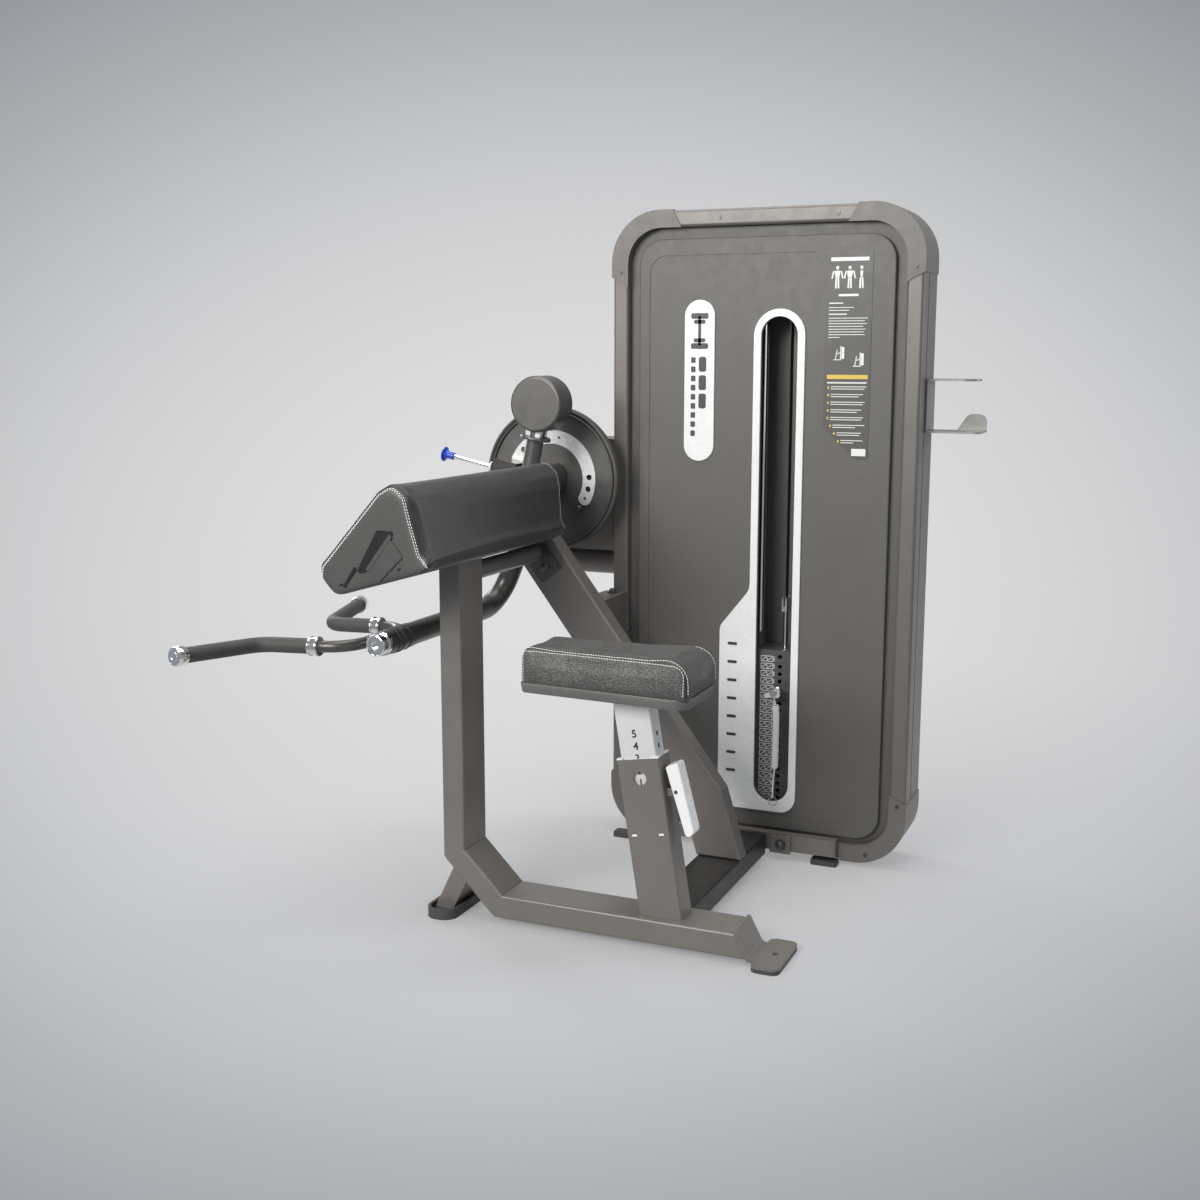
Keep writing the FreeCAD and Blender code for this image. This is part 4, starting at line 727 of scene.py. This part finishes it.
def pad_recess(y):
    """Channel along the slope in the pad's end and two small slots, near-black with painted shade, and the
    raised plate beside the channel.
    """
    bm = bmesh.new()
    channel = rounded_outline([(-308, 760, 6), (-257, 848, 8), (-216, 847, 5), (-282, 766, 5)], 4)
    tail = rounded_outline([(-337, 735, 1), (-309, 776, 3), (-303, 770, 3), (-331, 732, 1)], 4)
    for shape in (channel, tail):
        slab(bm, shape, y - 1.4, 8, 0.4, in_xz)
    for u, v in ((-341, 738), (-210, 776)):
        slot = rounded_outline([(u - 5, v - 4, 2), (u + 3, v - 1, 2), (u + 5, v + 3, 2), (u - 3, v, 2)], 2)
        slab(bm, slot, y - 1.4, 8, 0.3, in_xz)
    piece(bm, "arm_pad_recess", deep_shadow, "frame")
    bm = bmesh.new()
    plate = rounded_outline([(-277, 770, 4), (-254, 748, 4), (-200, 799, 5), (-228, 833, 5)], 4)
    slab(bm, plate, y - 3.4, 11, 1.2, in_xz)
    fold = rounded_outline([(-283, 772, 2), (-275, 766, 2), (-222, 836, 2), (-229, 842, 2)], 3)
    slab(bm, fold, y - 4.4, 12, 1.2, in_xz)
    piece(bm, "arm_pad_bracket", end_plastic, "frame")


def seat_plan(x, y):
    """The seat narrows towards the pad: y at full width becomes y at this x."""
    return MIDDLE_Y + (y - MIDDLE_Y) * (66 + 24 * (x + 60) / 366) / 90


def seat_cushion():
    """Loaf of a cushion with a grained panel on one side, painted lighter than the top as painted light, and
    a tray of moulded plastic below it.
    """
    corners = [(-60, 523, 4), (304, 523, 4), (304, 599, 46), (-60, 599, 16)]
    outline = rounded_outline(corners, 8)
    outline = resampled(outline + outline[:1], 12)[:-1]
    low, high = -282, -100
    cover = stuffed("seat_cover", outline, low, high, 9, seat_top_smooth_painted_shade, 0.005, 4.0,
                    lambda co: 1.0 if co.z < 0.5305 else 0.0, seat_plan)
    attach(cover, "seat")
    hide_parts("seat_cushion")
    # the grained front panel, painted lighter than the top as painted light
    panelled(cover, seat_front_grain_painted_light, lambda at, normal: normal.y < -0.75)
    rim = rounded_outline([(-61, 532, 0), (-61, 600, 16), (305, 600, 46), (305, 532, 0)], 10)
    rim = resampled(rim)
    for y, side in ((low, -1), (high, 1)):
        groove(cover, outline_edge(skin_of(cover), rim, y, side, 0.9, seat_plan), 0.0014, 0.0028)
    skin = skin_of(cover)
    inner = inset_open(rim, 8)
    lines = [outline_line(skin, rim, low + 13, 25, seat_plan), face_line(skin, inner, low - 40, 1),
             outline_line(skin, rim, high - 12, 25, seat_plan), face_line(skin, inner, high + 40, -1)]
    stitched("seat_stitches", lines, "seat")
    bm = bmesh.new()
    tray = rounded_outline([(-63, -258, 14), (307, -283, 34), (307, -99, 34), (-63, -124, 14)], 10)
    layers = [(z, inset(tray, inwards)) for z, inwards in (
        (505.5, 8), (506.2, 5), (509, 3), (519, 1.2), (525.4, 0), (527, 0.8), (527.4, 2.4), (523, 4))]
    loft(bm, layers, mm)
    tray_piece = piece(bm, "seat_tray", coats["shell_plastic"], "seat")
    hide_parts("seat_shell")


# ---------- pin and its curled lead
LEAD_ROUTE = [(279, 385, 383), (283.5, 387, 366), (283.5, 390, 320), (282, 393, 265), (281, 395, 212),
              (277, 397, 190), (276, 397, 140)]


def curled_lead():
    """The coiled plastic lead: a short tail, tight coils, a longer tail, and the wire ring it is tied to."""
    data = bpy.data.curves.new("lead_route", "CURVE")
    data.dimensions = "3D"
    data.resolution_u = 48
    line = data.splines.new("NURBS")
    line.points.add(len(LEAD_ROUTE) - 1)
    for point, place in zip(line.points, LEAD_ROUTE):
        point.co = (*mm(*place), 1)
    line.order_u = 3
    line.use_endpoint_u = True
    holder = bpy.data.objects.new("lead_route", data)
    scene.collection.objects.link(holder)
    graph = bpy.context.evaluated_depsgraph_get()
    graph.update()
    run = bpy.data.meshes.new_from_object(holder.evaluated_get(graph))
    route = [v.co.copy() for v in run.vertices]
    bpy.data.meshes.remove(run)
    bpy.data.objects.remove(holder)
    walked = [0.0]
    for a, b in zip(route, route[1:]):
        walked.append(walked[-1] + (b - a).length)
    total = walked[-1]

    def at(distance):
        """The place and the direction at a distance along the route."""
        distance = min(max(distance, 0), total)
        for i in range(1, len(walked)):
            if walked[i] >= distance:
                share = (distance - walked[i - 1]) / (walked[i] - walked[i - 1])
                return route[i - 1].lerp(route[i], share), (route[i] - route[i - 1]).normalized()
        return route[-1], (route[-1] - route[-2]).normalized()

    wire, coil, pitch, per_turn = 0.0036, 0.0064, 0.0041, 20
    first, last = 0.013, 0.172
    ends_at = (last - first) / pitch * per_turn
    points = [at(d * MM)[0] for d in range(0, round(first / MM) - 3, 3)]
    for k in range(3, round(ends_at) - 2):
        middle, way = at(first + pitch * k / per_turn)
        across = Vector((1, 0, 0))
        across = (across - way * across.dot(way)).normalized()
        over = way.cross(across)
        ease = min(1.0, k / per_turn, (ends_at - k) / per_turn)
        angle = tau * k / per_turn
        radius = coil * max(0.0, ease)
        points.append(middle + (across * cos(angle) + over * sin(angle)) * radius)
    points += [at(d * MM)[0] for d in range(round(last / MM) + 4, round(total / MM) - 1, 3)]
    points.append(route[-1])
    curve = bpy.data.curves.new("pin_lead", "CURVE")
    curve.dimensions = "3D"
    curve.bevel_depth = wire / 2
    curve.bevel_resolution = 3
    curve.resolution_u = 2
    curve.use_fill_caps = True
    lead = curve.splines.new("NURBS")
    lead.points.add(len(points) - 1)
    for point, place in zip(lead.points, points):
        point.co = (*place, 1)
    lead.order_u = 3
    lead.use_endpoint_u = True
    curve.materials.append(coats["lanyard"])
    thing = bpy.data.objects.new("pin_lead", curve)
    scene.collection.objects.link(thing)
    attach(thing, "selector")
    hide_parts("pin_lanyard")
    bm = bmesh.new()
    ring_at = Matrix.Translation(mm(276, 397.5, 132)) @ Matrix.Rotation(radians(88), 4, "X")
    torus(bm, ring_at, 0.0105, 0.0009)
    ring = piece(bm, "lead_ring", coats["steel"], "selector")


def pin_wings():
    """Winged grip on the selector pin."""
    bm = bmesh.new()
    wing = rounded_outline([(256, 387, 4), (264, 384, 4), (291, 387, 5), (295, 394, 5), (294, 412, 6),
                            (286, 414, 6), (275, 403, 5), (258, 398, 5)], 3)
    slab(bm, wing, 377, 9, 2.2, in_xz)
    piece(bm, "pin_wings", coats["chrome"], "selector")


# ---------- prints and plate labels
def bar(bm, x0, x1, z0, z1, y, round_by=0.0, thick=PRINT):
    """A printed rectangle, seen along Y."""
    corners = [(x, z, round_by) for x, z in ((x0, z0), (x1, z0), (x1, z1), (x0, z1))]
    outline = rounded_outline(corners, 3)
    loft(bm, [(y, outline), (y - thick, outline)], in_xz)


def stroke(bm, a, b, wide, y):
    """A printed line between two points."""
    a, b = Vector(a), Vector(b)
    run = (b - a).normalized()
    side = Vector((-run.y, run.x)) * wide / 2
    outline = [a - side, b - side, b + side, a + side]
    loft(bm, [(y, outline), (y - PRINT, outline)], in_xz)


def plate_labels():
    """A white outlined label with a zigzag on each plate, and dark rims on the resting plates' pin holes."""
    pitch, low, face = 17.7, 106, 427
    resting, lifted = 16, 4
    x0, x1 = 233, 262
    for name, body, first, count in (("plate_labels_low", "frame", 0, resting),
                                     ("plate_labels_high", "stack", resting, lifted + 1)):
        bm = bmesh.new()
        for i in range(first, first + count):
            z0 = low + i * pitch + 2.4
            z1 = z0 + 12.6
            border = [(x0, z0), (x1, z0), (x1, z1), (x0, z1), (x0, z0)]
            zigzag = [(x0 + 2, z0 + 2), (x0 + 13, z1 - 2), (x0 + 16, z0 + 2), (x1 - 2, z1 - 3)]
            for line in (border, zigzag):
                for a, b in zip(line, line[1:]):
                    stroke(bm, a, b, 1.3, face - 0.05)
            stroke(bm, (x1 + 3, z0 + 1), (x1 + 3, z1 - 1), 1.6, face - 0.05)
        piece(bm, name, white_print, body)
    bm = bmesh.new()
    for i in range(resting):
        place = Matrix.Translation(mm(279, face - 0.2, low + i * pitch + 8.65))
        torus(bm, place @ Matrix.Rotation(math.pi / 2, 4, "X"), 0.0056, 0.0006, 24, 6)
    piece(bm, "pin_hole_rims", coats["stack_iron"], "frame")


def figure(bm, x, z, tall, y, turned=False):
    """A plain standing pictogram: head, body, arms and legs."""
    unit = tall / 8
    head = [Vector((x + 0.55 * unit * cos(a), z + 7.3 * unit + 0.65 * unit * sin(a)))
            for a in (tau * k / 14 for k in range(14))]
    loft(bm, [(y, head), (y - PRINT, head)], in_xz)
    half = 0.55 if turned else 1.15
    corners = ((-1, 6.3, 0.4), (-0.6, 3.9, 0.2), (0.6, 3.9, 0.2), (1, 6.3, 0.4))
    trunk = rounded_outline([(x + wide * half * unit, z + high * unit, rounding * unit)
                             for wide, high, rounding in corners], 3)
    loft(bm, [(y, trunk), (y - PRINT, trunk)], in_xz)
    for side in (-unit, unit):
        if not turned:
            stroke(bm, (x + side * 1.35, z + 6.2 * unit), (x + side * 1.95, z + 3.6 * unit), 0.5 * unit, y)
        stroke(bm, (x + side * 0.35, z + 3.8 * unit), (x + side * 0.5, z + 0.2 * unit), 0.6 * unit, y)


def placard_marks():
    """Instruction plate with pictograms and plain bars where a real one has words."""
    y = 403.75
    bm = bmesh.new()
    bar(bm, 383, 468, 1378, 1386, y, 1)
    for i, x in enumerate((398, 426, 452)):
        figure(bm, x, 1318, 50, y, i == 2)
    bar(bm, 402, 446, 1302, 1307, y, 1)
    rows = ((1286, 0.35, 2.6), (1277, 0.62, 1.6), (1271, 0.5, 1.6), (1262, 0.45, 2.6),
            (1254, 0.97, 1.6), (1248, 0.9, 1.6), (1242, 0.95, 1.6), (1236, 0.86, 1.6),
            (1230, 0.93, 1.6), (1224, 0.88, 1.6), (1218, 0.9, 1.6), (1212, 0.28, 1.6))
    for z, share, high in rows:
        bar(bm, 381, 381 + 90 * share, z, z + high, y)
    for x, z in ((408, 1164), (452, 1150)):
        stroke(bm, (x - 14, z), (x + 4, z), 2, y)
        stroke(bm, (x - 10, z), (x - 6, z + 22), 2, y)
        stroke(bm, (x + 2, z), (x + 2, z + 30), 2.4, y)
        stroke(bm, (x - 8, z + 12), (x + 2, z + 16), 2, y)
        bar(bm, x + 4, x + 10, z + 2, z + 28, y)
    accents = bmesh.new()
    bar(accents, 380, 472, 1122, 1131, y)
    for row in range(8):
        z = 1104 - row * 17
        start = 382 + max(0, 1030 - z) * 0.55
        bar(bm, start + 8, 470 - (row * 7) % 11, z, z + 1.7, y)
        bar(bm, start + 8, 466 - (row * 13) % 23, z - 5, z - 3.3, y)
        bar(accents, start, start + 4, z - 3.5, z + 1.5, y)
    bar(bm, 381, 470, 1112, 1115, y)
    bar(bm, 440, 472, 952, 968, y, 1)
    piece(bm, "placard_marks", white_print, "frame")
    piece(accents, "placard_accents", yellow_print, "frame")


def badge_marks():
    """A plain dumbbell and bars on the long white plate, and dark dashes on the slot's trim."""
    y = 402.55
    bm = bmesh.new()
    x = 78.5
    bar(bm, x - 3.5, x + 3.5, 1196, 1262, y, 1)
    for z, half, high, round_by in ((1188, 21, 13, 4), (1256, 21, 13, 4), (1203, 14, 9, 3), (1245, 14, 9, 3)):
        bar(bm, x - half, x + half, z, z + high, y, round_by)
    for k in range(3):
        z, high = 1136 - k * 42, 34
        bar(bm, x - 1, x + 17, z, z + high, y, 5)
        bar(bm, x + 3.5, x + 12.5, z + 6, z + high - 6, y - 0.2, 3, 0.3)
    for k in range(9):
        z = 1156 - k * 21
        bar(bm, x - 20, x - 9, z, z + 13, y, 2)
    piece(bm, "badge_marks", dark_print, "frame")
    bm = bmesh.new()
    for k in range(8):
        z = 500 - k * 44
        bar(bm, 158, 181, z, z + 7, 401.55, 2)
    piece(bm, "trim_marks", dark_print, "frame")


# ---------- seat post
POST_TURN = Matrix.Rotation(radians(-9.1), 3, "Y")


def post_point(x, y, z):
    """A point of the seat post's leaning frame, in metres."""
    return mm(232, MIDDLE_Y, 61.5) + POST_TURN @ mm(x, y, z)


def seat_scale():
    """Height numbers up one side of the seat's tube."""
    across, up = POST_TURN @ Vector((1, 0, 0)), POST_TURN @ Vector((0, 0, 1))
    facing = Matrix((across, up, Vector((0, -1, 0)))).transposed().to_4x4()
    for step in range(5):
        number, z = str(step + 1), 277 + 25 * step
        data = bpy.data.curves.new("seat_number_" + number, "FONT")
        data.body = number
        data.size = 0.022
        data.extrude = 0.0001
        data.offset = 0.0005
        data.align_x = "CENTER"
        data.align_y = "CENTER"
        data.materials.append(dark_print)
        thing = bpy.data.objects.new("seat_number_" + number, data)
        scene.collection.objects.link(thing)
        thing.matrix_world = Matrix.Translation(post_point(-2, -23.15, z)) @ facing
        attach(thing, "seat")


def post_details():
    """Shallow bulge on the sleeve, its two pale plugs, and the domed ends of the lever's pivot."""
    bm = bmesh.new()
    bulge = rounded_outline([(-21, 322, 4), (21, 322, 4), (14, 190, 4), (-14, 190, 4)], 3)
    layers = [(-44.5, bulge), (-47, inset(bulge, 1)), (-50, inset(bulge, 4)), (-51, inset(bulge, 8))]
    loft(bm, layers, lambda u, v, at: post_point(at, u, v))
    piece(bm, "sleeve_bulge", coats["frame_paint"], "frame")
    bm = bmesh.new()
    for x in (-30, 28):
        plug = rounded_outline([(x - 6.5, 169.5, 1), (x + 6.5, 169.5, 1),
                                (x + 5, 174.5, 1), (x - 3.5, 174.5, 1)], 2)
        layers = [(-28, plug), (-30.5, plug), (-30.9, inset(plug, 0.4))]
        loft(bm, layers, lambda u, v, at: post_point(u, at, v))
    piece(bm, "sleeve_plugs", white_print, "frame")
    bm = bmesh.new()
    for y in (-17.4, 17.4):
        dome(bm, basis((0, math.copysign(1, y), 0), post_point(67, y, 254)), 0.0038, 0.001)
    piece(bm, "lever_pivot_ends", coats["rubber"], "frame")


# ---------- arm, disc and handle
PULL_ANGLE = 168.5


def about_pivot(radius, degrees, y):
    """A point at a radius and an angle about the arm's pivot."""
    angle = radians(degrees)
    return mm(PIVOT_X + radius * cos(angle), y, PIVOT_Z + radius * sin(angle))


def outwards_at(degrees):
    """The direction away from the arm's pivot."""
    return Vector((cos(radians(degrees)), 0, sin(radians(degrees))))


def puller_rod():
    """Chrome pull rod with a flared, flanged knob, and the bright clip it passes through."""
    out = outwards_at(PULL_ANGLE)
    place = basis(out, about_pivot(110, PULL_ANGLE, 272))
    bm = bmesh.new()
    revolve(bm, [(0, 0), (0.0056, 0.001), (0.0056, 0.135), (0, 0.136)], place, 24)
    rod = piece(bm, "puller_rod", coats["chrome"], "puller")
    bm = bmesh.new()
    revolve(bm, [(0, 0.13), (0.0085, 0.1305), (0.009, 0.132), (0.0085, 0.142), (0.0095, 0.149),
                 (0.0135, 0.1535), (0.017, 0.1545), (0.0178, 0.156), (0.017, 0.1578), (0.009, 0.1578),
                 (0.0075, 0.160), (0, 0.1602)], place, 40)
    knob = piece(bm, "puller_knob", coats["puller_blue"], "puller")
    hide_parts("range_rod")
    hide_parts("range_rod")
    bm = bmesh.new()
    clip = rounded_outline([(-16, -13, 4), (16, -13, 4), (16, 13, 8), (-16, 13, 8)], 4)
    turned = basis(out, about_pivot(132.2, PULL_ANGLE, 272))
    slab(bm, clip, 0, 3.5, 0.8, lambda u, v, at: turned @ mm(u, v, at))
    for x in (-10.5, 10.5):
        revolve(bm, [(0.004, 0.003), (0.004, 0.0062), (0.0032, 0.0068), (0, 0.0068)],
                turned @ Matrix.Translation(mm(x, 0, 0)), 6)
    piece(bm, "puller_clip", bright_plate, "arm")


def disc_details():
    """Raised double rim on the disc, and its domed stop."""
    bm = bmesh.new()
    place = basis((0, -1, 0), mm(PIVOT_X, 320, PIVOT_Z))
    for radius in (0.1665, 0.1575):
        torus(bm, place, radius, 0.0023, 120, 10)
    piece(bm, "disc_rims", disc_paint, "cam", 60)
    bm = bmesh.new()
    at = about_pivot(101, -42.7, 324)
    revolve(bm, [(0.0075, 0.004), (0.0075, 0.003), (0.0075, 0.012), (0.007, 0.014), (0.005, 0.0165),
                 (0, 0.018)], basis((0, -1, 0), at), 28)
    piece(bm, "disc_stop", coats["black_steel"], "cam")


def on_side(sign, vector, middle=0.0):
    """A left-hand vector kept or mirrored, then moved to a middle plane."""
    return Vector((vector.x, middle + sign * vector.y, vector.z))


def handle_ends():
    """Stepped rings on the handle's end caps, rounded lips on the inner collars, and the swivel's face."""
    outer, inner, hub = mm(-693, 335.2, 578.8), mm(-640.7, 127, 570), mm(-427, 119, 577.8)
    outwards = (outer - inner).normalized()
    towards = (hub - inner).normalized()
    collar = inner + towards * ((-0.5096 - inner.x) / towards.x)
    cap_profile = [(0.0195, -0.002), (0.0203, 0), (0.0203, 0.019), (0.0192, 0.022), (0.0165, 0.0232),
                   (0.0158, 0.0222), (0.0112, 0.0222), (0.0106, 0.0234), (0.0086, 0.0234), (0.008, 0.0218),
                   (0.004, 0.0218), (0, 0.0214)]
    bm = bmesh.new()
    for sign in (-1, 1):
        cap = on_side(sign, outer - outwards * 0.0135, MIDDLE_Y * MM)
        revolve(bm, cap_profile, basis(on_side(sign, outwards), cap), 40)
        start = on_side(sign, collar - towards * 0.0115, MIDDLE_Y * MM)
        lip = basis(on_side(sign, towards), start)
        for at in (0.003, 0.021):
            torus(bm, lip @ Matrix.Translation((0, 0, at)), 0.0192, 0.0022, 40, 10)
    piece(bm, "handle_rings", coats["chrome"], "handle")
    bm = bmesh.new()
    face = basis((0, -1, 0), mm(SWIVEL_X, -272, SWIVEL_Z))
    profile = [(0.0232, -0.003), (0.0232, 0.0), (0.0222, 0.0016), (0.0205, 0.0022), (0.0196, 0.0012),
               (0.0112, 0.0012), (0.0106, 0.0022), (0.0088, 0.0022), (0.008, 0.0012), (0.0068, 0.0008),
               (0.0062, -0.002)]
    revolve(bm, profile, face, 48)
    piece(bm, "swivel_face", coats["chrome"], "arm")
    bm = bmesh.new()
    for y, deep in ((-214, 0.0012), (-168, 0.0012), (-196, 0.0016)):
        torus(bm, basis((0, 1, 0), mm(SWIVEL_X, y, SWIVEL_Z)), 0.0268, deep, 48, 8)
    piece(bm, "swivel_grooves", coats["rubber"], "handle")


def neck_details():
    """Flange and square block between the counterweight and its neck."""
    bm = bmesh.new()
    weight_x, weight_z = -225.5, 1065
    angle = math.degrees(math.atan2(weight_z - PIVOT_Z, weight_x - PIVOT_X))
    way = outwards_at(angle)
    revolve(bm, [(0.0205, 0), (0.034, 0.001), (0.0352, 0.003), (0.0352, 0.0065), (0.034, 0.008),
                 (0.0205, 0.009)], basis(way, about_pivot(100, angle, 194)), 40)
    piece(bm, "neck_flange", disc_paint, "arm")
    bm = bmesh.new()
    block = rounded_outline([(-19, -19, 3), (19, -19, 3), (19, 19, 3), (-19, 19, 3)], 3)
    place = basis(way, about_pivot(108, angle, 194))
    slab(bm, block, 0, 22, 1.5, lambda u, v, at: place @ mm(u, v, at))
    piece(bm, "neck_block", bright_plate, "arm")


# ---------- everything, in order
camera()
curled_lead()
studio()
dress_frame()
arm_pad()
seat_cushion()
pin_wings()
plate_labels()
placard_marks()
badge_marks()
seat_scale()
post_details()
puller_rod()
disc_details()
handle_ends()
neck_details()
